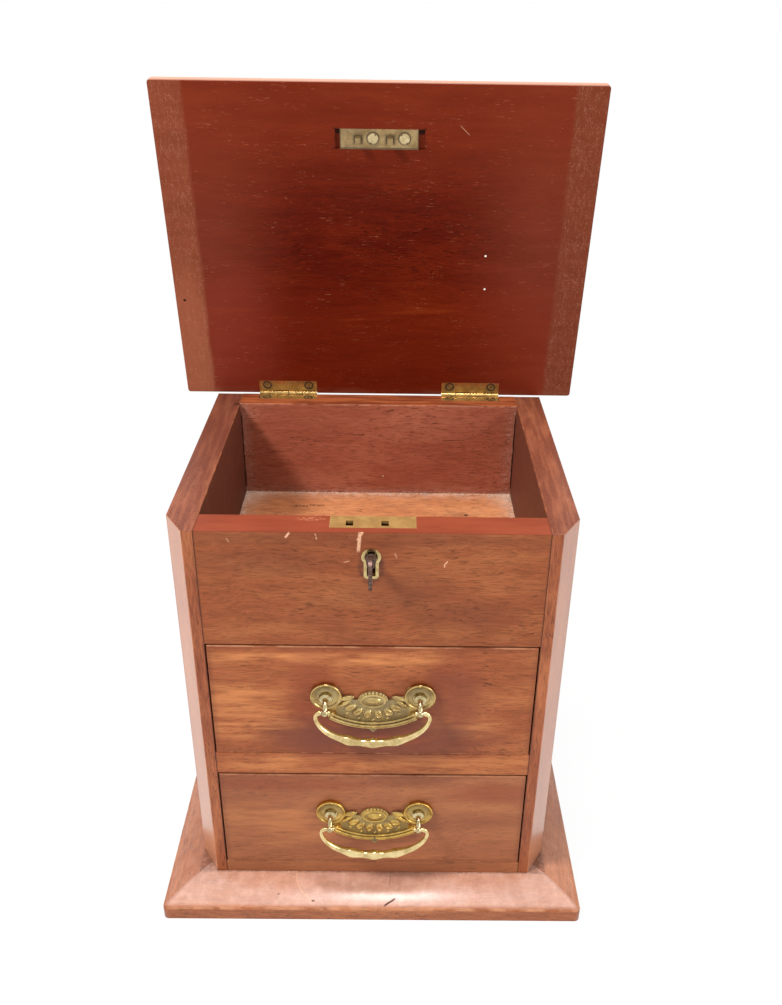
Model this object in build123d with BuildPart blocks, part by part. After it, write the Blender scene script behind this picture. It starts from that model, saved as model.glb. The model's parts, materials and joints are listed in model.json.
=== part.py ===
from build123d import *
import os
from math import acos, asin, atan2, cos, degrees, pi, radians, sin, sqrt

# Tabletop chest of drawers, in millimetres. +X is to the right, +Y to the back, +Z up.
# Z 0 is the table. X 0 is the middle of the case. Y 0 is the middle of the overall depth
# with the lid standing open.

# Case
case_width = 250.0
case_depth = 205.0
plinth_height = 21.0
side_thickness = 19.6
front_thickness = 19.3
back_thickness = 19.6
chamfer_across = 12.3
chamfer_along = 18.5
bottom_thickness = 10.5
lower_opening = 86.2
rail_height = 18.1
rail_depth = 40.0
upper_opening = 91.3
floor_thickness = 6.5
compartment_depth = 75.9
housing_depth = 5.0
housing_stop = 8.0
runner_width = 14.0

# Plinth
plinth_side_overhang = 23.7
plinth_front_overhang = 23.7
plinth_edge_height = 10.6
plinth_moulding_width = 45.0
plinth_crown = 1.6
plinth_arris = 2.0
plinth_corner = 3.5

# Lid and hinges
lid_width = 297.5
lid_depth = 231.0
lid_thickness = 12.0
lid_gap = 0.6
lid_corner = 2.0
lid_top_round = 5.0
lid_under_round = 0.5
open_angle = 82.1
hinge_setback = 1.4
hinge_inset = 54.3
hinge_length = 44.5
leaf_width = 10.7
leaf_thickness = 1.2
knuckle_count = 4
knuckle_radius = 1.8
knuckle_gap = 0.3
hinge_pin_radius = 0.9
pin_play = 0.05
hinge_clearance = 0.35
hinge_screw_spacing = 32.0
hinge_screw_inset = 7.0
hinge_screw_head = 5.0
hinge_screw_shank = 2.6
hinge_screw_length = 9.0

# Lock
selvedge_length = 51.8
selvedge_setback = 5.6
selvedge_thickness = 2.0
lock_plate_height = 30.0
lock_plate_thickness = 1.4
lock_case_width = 39.0
lock_case_height = 28.0
lock_case_depth = 10.5
lock_case_wall = 1.0
catch_setback = 11.0
left_catch_x = -14.0
right_catch_x = 7.2
catch_hole_width = 4.5
catch_hole_depth = 5.8
bolt_thickness = 2.0
bolt_width = 7.5
bolt_throw = 4.8
bolt_play = 0.4
bolt_prong_length = 5.4
bolt_prong_height = 1.6
bolt_arm_width = 2.4
bolt_bar_height = 6.1
bolt_bar_left = -12.0
lock_screw_head = 5.0
lock_screw_shank = 2.6
lock_screw_length = 8.0
lock_screw_x = 22.4
lock_screw_drop = 7.0
spring_thickness = 0.6
spring_width = 5.0
spring_foot_height = 4.0
spring_bulge = 4.2
spring_clearance = 1.0

# Link plate
link_plate_length = 52.0
link_plate_width = 13.2
link_plate_thickness = 1.5
link_mortise_left = 3.2
link_mortise_right = 4.2
staple_width = 3.6
staple_depth = 4.2
staple_reach = 5.5
staple_eye_width = 2.6
staple_foot = 0.8
link_screw_head = 7.2
link_screw_shank = 3.2
link_screw_length = 9.0
left_link_screw_x = -4.2
right_link_screw_x = 16.8

# Keyhole and key
keyhole_x = -0.8
keyhole_drop = 17.0
keyhole_radius = 4.0
keyhole_leg = 5.2
keyhole_reach = 13.5
keyhole_corner = 0.7
escutcheon_wall = 1.9
escutcheon_depth = 5.0
escutcheon_corner = 2.2
case_keyhole_radius = 3.0
case_keyhole_leg = 3.0
key_bit_radius = 8.5
key_bit_thickness = 2.0
key_shank_radius = 2.2
key_bore_radius = 1.15
key_pipe_spare = 1.0
key_bit_root = 0.5
drill_pin_play = 0.05
key_collar_radius = 3.4
key_collar_count = 3
key_collar_start = 0.8
key_collar_length = 1.8
key_collar_pitch = 3.2
key_collar_bevel = 0.4
key_collar_taper = 0.4
key_shank_taper = 0.25
key_neck = 10.0
key_bow_length = 16.0
key_bow_height = 20.0
key_bow_thickness = 2.0
key_bow_rim = 3.4
key_ward_width = 1.2

# Drawers
drawer_depth = 178.0
drawer_front_thickness = 14.0
drawer_side_thickness = 7.0
drawer_back_thickness = 7.0
drawer_bottom_thickness = 4.0
drawer_side_gap = 0.9
drawer_top_gap = 1.3
drawer_bottom_gap = 0.3
drawer_side_drop = 3.0
drawer_back_drop = 8.0
drawer_groove_depth = 3.5
drawer_groove_lift = 5.5
dovetail_count = 3
dovetail_lap = 4.0
dovetail_gap = 5.0
dovetail_flare = 1.3
stop_length = 20.0
stop_depth = 8.0
stop_height = 3.5
stop_spacing = 120.0
stop_clearance = 0.3

# Handles
upper_handle_x = 0.3
upper_handle_rise = 5.55
lower_handle_x = 1.3
lower_handle_rise = 8.3
post_spacing = 60.8
rose_radius = 10.2
rose_rim = 1.3
rose_rim_height = 3.0
rose_dish_height = 1.7
rose_seat_height = 2.2
plate_thickness = 1.4
plate_drop = 27.4
plate_end_x = 29.3
plate_end_drop = 19.1
plate_dip = 4.2
plate_shoulder = 1.6
border_width = 5.8
border_height = 2.8
border_bead = 1.2
border_groove = 1.2
scroll_x = 27.0
scroll_drop = 15.2
scroll_radius = 3.0
scroll_eye = 3.8
scroll_eye_height = 1.6
pip_size = 4.4
cartouche_width = 18.8
cartouche_height = 13.0
cartouche_drop = 3.3
cartouche_rise = 1.0
cartouche_rim = 1.0
cartouche_ring = 1.3
boss_width = 11.4
boss_height = 6.2
boss_rise = 1.9
gadroon_count = 11
gadroon_size = 2.5
gadroon_height = 1.0
gadroon_inset = 0.6
drop_bed = 0.4
bead_size = 2.4
bead_height = 1.0
bead_reach = 16.1
lobe_count = 6
lobe_step = 23.5
lobe_reach = 11.8
lobe_length = 8.6
lobe_width = 6.0
lobe_height = 1.9
lobe_cup_length = 5.6
lobe_cup_width = 3.4
lobe_cup_depth = 1.1
leaf_length = 10.4
leaf_width_widest = 3.5
leaf_height = 1.7
leaf_x = 18.7
leaf_drop = 6.0
leaf_turn = 36.0
upper_leaf_x = 17.2
upper_leaf_drop = 1.6
upper_leaf_turn = 12.0
fan_stretch = 1.45
collar_radius = 4.5
collar_ring = 1.1
collar_groove = 1.0
collar_groove_width = 0.6
second_ring_inset = 0.6
neck_radius = 1.75
neck_shoulder = 0.8
neck_flare = 0.3
eye_reach = 12.4
eye_drop = 4.4
eye_ball_radius = 2.5
eye_hole_radius = 1.4
eye_play = 0.08
stud_radius = 2.0
stud_play = 0.2
stud_proud = 1.5
nut_size = 9.0
nut_thickness = 3.0
bail_half_width = 36.5
bail_drop = 25.0
bail_hook = 3.3
bail_tip_proud = 0.4
bail_hook_radius = 1.5
bail_valley_radius = 2.5
bail_knop_radius = 3.4
bail_knop_spacing = 15.5
bail_knop_reach = 6.5
bow_stations = 24

# Places worked out from the sizes above
key_reach = key_neck + key_bow_length
lid_rise = radians(open_angle)
front_reach = max(key_reach, plinth_front_overhang)
back_reach = hinge_setback + lid_thickness * sin(lid_rise)
front_y = front_reach - (front_reach + case_depth + back_reach) / 2
back_y = front_y + case_depth
half_case = case_width / 2
half_inside = half_case - side_thickness
lower_floor_z = plinth_height + bottom_thickness
rail_z = lower_floor_z + lower_opening
upper_floor_z = rail_z + rail_height
floor_z = upper_floor_z + upper_opening
compartment_z = floor_z + floor_thickness
rim_z = compartment_z + compartment_depth
front_inner_y = front_y + front_thickness
back_inner_y = back_y - back_thickness
pin_y = back_y + hinge_setback
pin_z = rim_z + lid_gap / 2
key_z = rim_z - keyhole_drop
catch_y = front_y + catch_setback
lock_case_y = front_inner_y - lock_plate_thickness - lock_case_depth
lock_back_y = front_inner_y - lock_plate_thickness

# The lid's own plane: along X, up the lid from the hinge, and out of its underside
lid_up = Vector(0, -cos(lid_rise), sin(lid_rise))
lid_out = Vector(0, -sin(lid_rise), -cos(lid_rise))
hinge_plane = Plane(origin=(0, pin_y, pin_z), x_dir=(1, 0, 0), z_dir=lid_out)
underside = hinge_plane.offset(-lid_gap / 2)
front_plane = Plane(origin=(0, front_y, 0), x_dir=(1, 0, 0), z_dir=(0, -1, 0))

os.makedirs("parts", exist_ok=True)


def save(piece, label):
    """Names a finished piece and writes it as its own file."""
    piece.label = label
    export_step(piece, f"parts/{label}.step")


def block(low_x, high_x, low_y, high_y, low_z, high_z, mode=Mode.ADD):
    """A squared board or cut, given by its faces, in whichever part is open."""
    with BuildSketch(Plane.XY.offset(low_z)) as plan:
        with Locations(((low_x + high_x) / 2, (low_y + high_y) / 2)):
            Rectangle(high_x - low_x, high_y - low_y)
    extrude(plan.sketch, amount=high_z - low_z, mode=mode)


def screw_blank(head, shank, length):
    """Countersunk wood screw with no slot, head up at the origin."""
    with BuildPart() as blank:
        with BuildSketch(Plane.XZ):
            with BuildLine():
                Polyline(
                    (0, 0),
                    (head / 2, 0),
                    (shank / 2, -(head - shank) / 2),
                    (shank / 2, -(length - shank)),
                    (0, -length),
                    close=True,
                )
            make_face()
        revolve(axis=Axis.Z)
    return blank.part


def slotted_screw(head, shank, length, turn):
    """The same screw with its driving slot, turned by some degrees."""
    with BuildPart() as screw:
        add(screw_blank(head, shank, length))
        with BuildSketch(Plane.XY):
            Rectangle(head * 1.1, head * 0.16, rotation=turn)
        extrude(amount=-head * 0.1, mode=Mode.SUBTRACT)
    return screw.part


def keyhole_outline(radius, leg, reach, corner):
    """Round head over a straight leg, centred on the key's axis."""
    Circle(radius)
    with Locations((0, -reach / 2)):
        RectangleRounded(leg, reach, corner)


# Case sides, housed for the floor, the rail and the bottom board
with BuildPart() as left_side:
    with BuildSketch(Plane.XY.offset(plinth_height)):
        with BuildLine():
            Polyline(
                (-half_inside, front_y),
                (-half_case + chamfer_across, front_y),
                (-half_case, front_y + chamfer_along),
                (-half_case, back_y),
                (-half_inside, back_y),
                close=True,
            )
        make_face()
    extrude(amount=rim_z - plinth_height)
    housing_x = -half_inside - housing_depth
    block(
        housing_x,
        -half_inside,
        front_inner_y - housing_depth,
        back_inner_y + housing_depth,
        floor_z,
        compartment_z,
        mode=Mode.SUBTRACT,
    )
    block(
        housing_x,
        -half_inside,
        front_y + housing_stop,
        front_y + rail_depth,
        rail_z,
        upper_floor_z,
        mode=Mode.SUBTRACT,
    )
    block(
        housing_x,
        -half_inside,
        front_y + housing_stop,
        back_inner_y,
        plinth_height,
        lower_floor_z,
        mode=Mode.SUBTRACT,
    )
save(left_side.part, "left_side")

with BuildPart() as right_side:
    mirror(left_side.part, about=Plane.YZ)
save(right_side.part, "right_side")


# Boards that run across the case between the sides
def housed_board(back_edge, low_z, high_z):
    """Cross board whose ends enter the sides, stopped short of the front."""
    with BuildPart() as board:
        block(-half_inside, half_inside, front_y, back_edge, low_z, high_z)
        block(
            -half_inside - housing_depth,
            half_inside + housing_depth,
            front_y + housing_stop,
            back_edge,
            low_z,
            high_z,
        )
    return board.part


save(housed_board(back_inner_y, plinth_height, lower_floor_z), "bottom_board")
save(housed_board(front_y + rail_depth, rail_z, upper_floor_z), "drawer_rail")

with BuildPart() as compartment_floor:
    block(
        -half_inside - housing_depth,
        half_inside + housing_depth,
        front_inner_y - housing_depth,
        back_inner_y + housing_depth,
        floor_z,
        compartment_z,
    )
save(compartment_floor.part, "compartment_floor")

with BuildPart() as left_runner:
    block(
        -half_inside,
        -half_inside + runner_width,
        front_y + rail_depth,
        back_inner_y,
        rail_z,
        upper_floor_z,
    )
save(left_runner.part, "left_runner")

with BuildPart() as right_runner:
    mirror(left_runner.part, about=Plane.YZ)
save(right_runner.part, "right_runner")

# Stop blocks behind the drawer fronts
with BuildPart() as drawer_stops:
    stop_y = front_y + drawer_front_thickness + stop_clearance
    for stop_z in (lower_floor_z, upper_floor_z):
        for stop_x in (-stop_spacing / 2, stop_spacing / 2):
            block(
                stop_x - stop_length / 2,
                stop_x + stop_length / 2,
                stop_y,
                stop_y + stop_depth,
                stop_z,
                stop_z + stop_height,
            )
save(drawer_stops.part, "drawer_stops")

# Plinth: one moulding profile, mitred round the front corners and square at the back
plinth_x = half_case + plinth_side_overhang
plinth_front_y = front_y - plinth_front_overhang


def moulding_profile(overhang):
    """Section with its outer face at 0 and its foot on the table."""
    with BuildLine() as profile:
        foot = Line((plinth_moulding_width, 0), (0, 0))
        edge = Line(foot @ 1, (0, plinth_edge_height))
        crown = SagittaArc(edge @ 1, (overhang, plinth_height), plinth_crown)
        flat = Line(crown @ 1, (plinth_moulding_width, plinth_height))
        Line(flat @ 1, foot @ 0)
    make_face(profile.edges())


def mitre_plan(points):
    """Plan of one length of the plinth, inside its rounded outer corners."""
    with BuildSketch(Plane.XY) as plan:
        with BuildLine():
            Polyline(*points, close=True)
        make_face()
        with Locations((0, (plinth_front_y + back_y + plinth_corner) / 2)):
            RectangleRounded(
                2 * plinth_x,
                back_y - plinth_front_y + plinth_corner,
                plinth_corner,
                mode=Mode.INTERSECT,
            )
    extrude(plan.sketch, amount=plinth_height, mode=Mode.INTERSECT)


inner_x = plinth_x - plinth_moulding_width
inner_y = plinth_front_y + plinth_moulding_width

with BuildPart() as plinth_front:
    with BuildSketch(Plane(origin=(-plinth_x, plinth_front_y, 0), x_dir=(0, 1, 0), z_dir=(1, 0, 0))):
        moulding_profile(plinth_front_overhang)
    extrude(amount=2 * plinth_x)
    mitre_plan(
        [
            (-plinth_x, plinth_front_y),
            (plinth_x, plinth_front_y),
            (inner_x, inner_y),
            (-inner_x, inner_y),
        ]
    )
    fillet(
        plinth_front.edges().filter_by(Axis.X).group_by(Axis.Y)[0].sort_by(Axis.Z)[-1],
        plinth_arris,
    )
save(plinth_front.part, "plinth_front")

with BuildPart() as plinth_left:
    with BuildSketch(Plane(origin=(-plinth_x, back_y, 0), x_dir=(1, 0, 0), z_dir=(0, -1, 0))):
        moulding_profile(plinth_side_overhang)
    extrude(amount=back_y - plinth_front_y)
    mitre_plan(
        [
            (-plinth_x, plinth_front_y),
            (-inner_x, inner_y),
            (-inner_x, back_y),
            (-plinth_x, back_y),
        ]
    )
    fillet(
        plinth_left.edges().filter_by(Axis.Y).group_by(Axis.X)[0].sort_by(Axis.Z)[-1],
        plinth_arris,
    )
save(plinth_left.part, "plinth_left")

with BuildPart() as plinth_right:
    mirror(plinth_left.part, about=Plane.YZ)
save(plinth_right.part, "plinth_right")

with BuildPart() as plinth_back:
    block(-inner_x, inner_x, back_y - plinth_moulding_width, back_y, 0, plinth_height)
save(plinth_back.part, "plinth_back")

# Screws of the hinges, the lock and the link plate, and their places
hinge_xs = (hinge_inset - half_case, half_case - hinge_inset)
hinge_screw_xs = [
    hinge_x + side * hinge_screw_spacing / 2 for hinge_x in hinge_xs for side in (-1, 1)
]
case_screw_places = [
    Location((screw_x, pin_y - hinge_screw_inset, rim_z)) for screw_x in hinge_screw_xs
]
lid_screw_places = [
    underside.location * Location((screw_x, hinge_screw_inset, 0))
    for screw_x in hinge_screw_xs
]
hinge_blank = screw_blank(hinge_screw_head, hinge_screw_shank, hinge_screw_length)

inside_plane = Plane(origin=(0, front_inner_y, rim_z), x_dir=(-1, 0, 0), z_dir=(0, 1, 0))
lock_screw_places = [
    inside_plane.location * Location((screw_x, drop, 0))
    for screw_x in (-lock_screw_x, lock_screw_x)
    for drop in (-lock_screw_drop, lock_screw_drop - lock_plate_height)
]
lock_blank = screw_blank(lock_screw_head, lock_screw_shank, lock_screw_length)

link_up = pin_y - catch_y
link_screw_places = [
    underside.location * Location((screw_x, link_up, 0))
    for screw_x in (left_link_screw_x, right_link_screw_x)
]
link_blank = screw_blank(link_screw_head, link_screw_shank, link_screw_length)


def screw_set(places, head, shank, length, first_turn):
    """Like screws, each with its slot left at another angle."""
    with BuildPart() as screws:
        for number, place in enumerate(places):
            with Locations(place):
                add(slotted_screw(head, shank, length, first_turn + 67 * number))
    return screws.part


save(
    screw_set(case_screw_places, hinge_screw_head, hinge_screw_shank, hinge_screw_length, 20),
    "case_hinge_screws",
)
save(
    screw_set(lid_screw_places, hinge_screw_head, hinge_screw_shank, hinge_screw_length, 35),
    "lid_hinge_screws",
)
save(
    screw_set(lock_screw_places, lock_screw_head, lock_screw_shank, lock_screw_length, 10),
    "lock_screws",
)
save(
    screw_set(link_screw_places, link_screw_head, link_screw_shank, link_screw_length, 60),
    "link_plate_screws",
)

# Back board, recessed for the hinge leaves
with BuildPart() as back_board:
    block(-half_inside, half_inside, back_inner_y, back_y, plinth_height, rim_z)
    block(
        -half_inside,
        half_inside,
        back_inner_y,
        back_inner_y + housing_depth,
        floor_z,
        compartment_z,
        mode=Mode.SUBTRACT,
    )
    for hinge_x in hinge_xs:
        block(
            hinge_x - hinge_length / 2,
            hinge_x + hinge_length / 2,
            pin_y - leaf_width,
            back_y,
            rim_z - leaf_thickness,
            rim_z,
            mode=Mode.SUBTRACT,
        )
        with BuildSketch(Plane.YZ.offset(hinge_x - hinge_length / 2 - knuckle_gap)) as barrel_bed:
            with Locations((pin_y, pin_z)):
                Circle(knuckle_radius + hinge_clearance)
        extrude(
            barrel_bed.sketch,
            amount=hinge_length + 2 * knuckle_gap,
            mode=Mode.SUBTRACT,
        )
    with Locations(*case_screw_places):
        add(hinge_blank, mode=Mode.SUBTRACT)
save(back_board.part, "back_board")

# Front panel, cut out for the lock and the keyhole
with BuildPart() as front_panel:
    block(-half_inside, half_inside, front_y, front_inner_y, floor_z, rim_z)
    block(
        -half_inside,
        half_inside,
        front_inner_y - housing_depth,
        front_inner_y,
        floor_z,
        compartment_z,
        mode=Mode.SUBTRACT,
    )
    block(
        -selvedge_length / 2,
        selvedge_length / 2,
        front_y + selvedge_setback,
        front_inner_y,
        rim_z - selvedge_thickness,
        rim_z,
        mode=Mode.SUBTRACT,
    )
    block(
        -selvedge_length / 2,
        selvedge_length / 2,
        lock_back_y,
        front_inner_y,
        rim_z - lock_plate_height,
        rim_z,
        mode=Mode.SUBTRACT,
    )
    block(
        -lock_case_width / 2,
        lock_case_width / 2,
        lock_case_y,
        front_inner_y,
        rim_z - lock_case_height,
        rim_z,
        mode=Mode.SUBTRACT,
    )
    with BuildSketch(front_plane):
        with Locations((keyhole_x, key_z)):
            keyhole_outline(keyhole_radius, keyhole_leg, keyhole_reach, keyhole_corner)
    extrude(amount=-front_thickness, mode=Mode.SUBTRACT)
    with BuildSketch(front_plane):
        with Locations((keyhole_x, key_z)):
            keyhole_outline(
                keyhole_radius + escutcheon_wall,
                keyhole_leg + 2 * escutcheon_wall,
                keyhole_reach + escutcheon_wall,
                escutcheon_corner,
            )
    extrude(amount=-escutcheon_depth, mode=Mode.SUBTRACT)
    with Locations(*lock_screw_places):
        add(lock_blank, mode=Mode.SUBTRACT)
save(front_panel.part, "front_panel")

with BuildPart() as escutcheon:
    with BuildSketch(front_plane):
        with Locations((keyhole_x, key_z)):
            keyhole_outline(
                keyhole_radius + escutcheon_wall,
                keyhole_leg + 2 * escutcheon_wall,
                keyhole_reach + escutcheon_wall,
                escutcheon_corner,
            )
    extrude(amount=-escutcheon_depth)
    with BuildSketch(front_plane):
        with Locations((keyhole_x, key_z)):
            keyhole_outline(keyhole_radius, keyhole_leg, keyhole_reach, keyhole_corner)
    extrude(amount=-escutcheon_depth, mode=Mode.SUBTRACT)
save(escutcheon.part, "escutcheon")

# Hinges
knuckle_length = hinge_length / knuckle_count


def knuckles(hinge_x, first, radius, slack):
    """Every second knuckle of the barrel, from the first one given."""
    for number in range(first, knuckle_count, 2):
        start = hinge_x - hinge_length / 2 + number * knuckle_length - slack / 2
        with BuildSketch(Plane.YZ.offset(start)) as barrel:
            with Locations((pin_y, pin_z)):
                Circle(radius)
        length = knuckle_length + slack
        extrude(barrel.sketch, amount=length, mode=Mode.ADD if slack < 0 else Mode.SUBTRACT)


def pin_bore(hinge_x, radius):
    """Bore through the whole barrel."""
    with BuildSketch(Plane.YZ.offset(hinge_x - hinge_length / 2)) as bore:
        with Locations((pin_y, pin_z)):
            Circle(radius)
    extrude(bore.sketch, amount=hinge_length, mode=Mode.SUBTRACT)


def case_leaf(hinge_x):
    """Leaf let into the rim, with the second and fourth knuckles."""
    with BuildPart() as leaf:
        block(
            hinge_x - hinge_length / 2,
            hinge_x + hinge_length / 2,
            pin_y - leaf_width,
            pin_y,
            rim_z - leaf_thickness,
            rim_z,
        )
        knuckles(hinge_x, 0, knuckle_radius + hinge_clearance, knuckle_gap)
        knuckles(hinge_x, 1, knuckle_radius, -knuckle_gap)
        pin_bore(hinge_x, hinge_pin_radius)
        with Locations(*case_screw_places):
            add(hinge_blank, mode=Mode.SUBTRACT)
    return leaf.part


def lid_leaf(hinge_x):
    """Leaf let into the lid, with the first and third knuckles."""
    with BuildPart() as leaf:
        with BuildSketch(underside):
            with Locations((hinge_x, leaf_width / 2)):
                Rectangle(hinge_length, leaf_width)
        extrude(amount=-leaf_thickness)
        knuckles(hinge_x, 1, knuckle_radius + hinge_clearance, knuckle_gap)
        knuckles(hinge_x, 0, knuckle_radius, -knuckle_gap)
        pin_bore(hinge_x, hinge_pin_radius + pin_play)
        with Locations(*lid_screw_places):
            add(hinge_blank, mode=Mode.SUBTRACT)
    return leaf.part


for hinge_name, hinge_x in zip(("left", "right"), hinge_xs):
    save(case_leaf(hinge_x), f"{hinge_name}_hinge_case_leaf")
    save(lid_leaf(hinge_x), f"{hinge_name}_hinge_lid_leaf")
    with BuildPart() as hinge_pin:
        with BuildSketch(Plane.YZ.offset(hinge_x - hinge_length / 2)):
            with Locations((pin_y, pin_z)):
                Circle(hinge_pin_radius)
        extrude(amount=hinge_length)
    save(hinge_pin.part, f"{hinge_name}_hinge_pin")

# Lid, standing open, with its recesses
lid_front = Axis(origin=hinge_plane.origin, direction=lid_out)
with BuildPart() as lid:
    with BuildSketch(underside):
        with Locations((0, lid_depth / 2)):
            RectangleRounded(lid_width, lid_depth, lid_corner)
    extrude(amount=-lid_thickness)
    fillet(lid.faces().sort_by(lid_front)[0].edges(), lid_top_round)
    fillet(lid.faces().sort_by(lid_front)[-1].edges(), lid_under_round)
    for hinge_x in hinge_xs:
        with BuildSketch(underside):
            with Locations((hinge_x, leaf_width / 2)):
                Rectangle(hinge_length, leaf_width)
        extrude(amount=-leaf_thickness, mode=Mode.SUBTRACT)
        with BuildSketch(Plane.YZ.offset(hinge_x - hinge_length / 2 - knuckle_gap)):
            with Locations((pin_y, pin_z)):
                Circle(knuckle_radius + hinge_clearance)
        extrude(amount=hinge_length + 2 * knuckle_gap, mode=Mode.SUBTRACT)
    with BuildSketch(underside):
        mortise_shift = (link_mortise_right - link_mortise_left) / 2
        with Locations((mortise_shift, link_up)):
            Rectangle(
                link_plate_length + link_mortise_left + link_mortise_right,
                link_plate_width,
            )
    extrude(amount=-link_plate_thickness, mode=Mode.SUBTRACT)
    with Locations(*lid_screw_places):
        add(hinge_blank, mode=Mode.SUBTRACT)
    with Locations(*link_screw_places):
        add(link_blank, mode=Mode.SUBTRACT)
save(lid.part, "lid")

# Link plate with two staples, each an eye for a bolt prong
prong_top = selvedge_thickness + lid_gap + bolt_play / 2
staple_eye_height = bolt_prong_height + 2 * bolt_play
staple_eye_top = prong_top - bolt_play
with BuildPart() as link_plate:
    with BuildSketch(underside):
        with Locations((0, link_up)):
            Rectangle(link_plate_length, link_plate_width)
    extrude(amount=-link_plate_thickness)
    with BuildSketch(underside):
        with Locations((left_catch_x, link_up), (right_catch_x, link_up)):
            Rectangle(staple_width, staple_depth)
    extrude(amount=staple_reach)
    for catch_x in (left_catch_x, right_catch_x):
        with BuildSketch(underside.offset(staple_eye_top)):
            with Locations((catch_x, link_up)):
                Rectangle(2 * staple_width, staple_eye_width)
        extrude(amount=staple_eye_height, mode=Mode.SUBTRACT)
    with Locations(*link_screw_places):
        add(link_blank, mode=Mode.SUBTRACT)
save(link_plate.part, "link_plate")

# Lock plate: selvedge in the rim, back plate inside the compartment, drill pin
key_centre = (keyhole_x, key_z)
key_inner_y = lock_back_y - bolt_play
with BuildPart() as lock_plate:
    block(
        -selvedge_length / 2,
        selvedge_length / 2,
        front_y + selvedge_setback,
        front_inner_y,
        rim_z - selvedge_thickness,
        rim_z,
    )
    block(
        -selvedge_length / 2,
        selvedge_length / 2,
        lock_back_y,
        front_inner_y,
        rim_z - lock_plate_height,
        rim_z,
    )
    with BuildSketch(Plane.XY.offset(rim_z)):
        with Locations((left_catch_x, catch_y), (right_catch_x, catch_y)):
            Rectangle(catch_hole_width, catch_hole_depth)
    extrude(amount=-selvedge_thickness, mode=Mode.SUBTRACT)
    with Locations(*lock_screw_places):
        add(lock_blank, mode=Mode.SUBTRACT)
    with BuildSketch(front_plane.offset(front_y - lock_back_y)):
        with Locations(key_centre):
            Circle(key_bore_radius - drill_pin_play)
    extrude(amount=lock_back_y - front_y - key_neck / 2)
save(lock_plate.part, "lock_plate")

# Lock case, a tray that covers the works
with BuildPart() as lock_case:
    block(
        -lock_case_width / 2,
        lock_case_width / 2,
        lock_case_y,
        lock_back_y,
        rim_z - lock_case_height,
        rim_z - selvedge_thickness,
    )
    block(
        -lock_case_width / 2 + lock_case_wall,
        lock_case_width / 2 - lock_case_wall,
        lock_case_y + lock_case_wall,
        lock_back_y,
        rim_z - lock_case_height + lock_case_wall,
        rim_z - selvedge_thickness,
        mode=Mode.SUBTRACT,
    )
    with BuildSketch(front_plane.offset(front_y - lock_case_y)):
        with Locations(key_centre):
            keyhole_outline(
                case_keyhole_radius,
                case_keyhole_leg,
                key_bit_radius + bolt_play,
                keyhole_corner,
            )
    extrude(amount=-lock_case_wall, mode=Mode.SUBTRACT)
save(lock_case.part, "lock_case")

# Bolt: a bar over the key with two prongs that point left, shown drawn back
bar_top = rim_z + lid_gap - staple_reach - lid_gap - bolt_play
bar_bottom = bar_top - bolt_bar_height
prong_high = rim_z - selvedge_thickness - bolt_play / 2
prong_low = prong_high - bolt_prong_height
bolt_low_y = catch_y - bolt_thickness / 2
talon_rise = bar_bottom - key_z
talon_half = sqrt(key_bit_radius**2 - talon_rise**2) + key_bit_thickness / 2 + bolt_play
talon_turn = acos(talon_rise / key_bit_radius) / pi
talon_left = keyhole_x - talon_half + bolt_throw * (1 + talon_turn) / 2
talon_right = keyhole_x + talon_half + bolt_throw * (1 - talon_turn) / 2
with BuildPart() as lock_bolt:
    tips = [x + staple_width / 2 + bolt_play for x in (left_catch_x, right_catch_x)]
    bar_right = tips[1] + bolt_prong_length + bolt_arm_width
    shelf_z = (bar_top + bar_bottom) / 2
    block(bolt_bar_left, bar_right, bolt_low_y, bolt_low_y + bolt_thickness, bar_bottom, bar_top)
    block(bolt_bar_left, bar_right, bolt_low_y, bolt_low_y + bolt_width, bar_bottom, shelf_z)
    for tip_x in tips:
        arm_x = tip_x + bolt_prong_length
        for start_x, low_z in ((tip_x, prong_low), (arm_x, bar_top)):
            block(
                start_x,
                arm_x + bolt_arm_width,
                bolt_low_y,
                bolt_low_y + bolt_thickness,
                low_z,
                prong_high,
            )
    block(
        talon_left,
        talon_right,
        bolt_low_y,
        bolt_low_y + bolt_width,
        bar_bottom,
        key_z + key_bit_radius + bolt_play,
        mode=Mode.SUBTRACT,
    )
save(lock_bolt.part, "lock_bolt")

# Bolt spring, a bent strip that stands on the case's foot and bears up on the bar
with BuildPart() as bolt_spring:
    spring_x = lock_case_width / 2 - lock_case_wall
    spring_foot = rim_z - lock_case_height + lock_case_wall
    spring_top = bar_bottom - bolt_play
    with BuildSketch(front_plane.offset(front_y - bolt_low_y)):
        with BuildLine():
            leg = Line((spring_x, spring_foot), (spring_x, spring_foot + spring_foot_height))
            ThreePointArc(
                leg @ 1,
                (spring_x - spring_bulge, (spring_foot + spring_top) / 2 + spring_foot_height),
                (talon_right + spring_clearance, spring_top - spring_thickness),
            )
            offset(amount=spring_thickness, side=Side.LEFT)
        make_face()
    extrude(amount=-spring_width)
save(bolt_spring.part, "bolt_spring")

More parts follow.
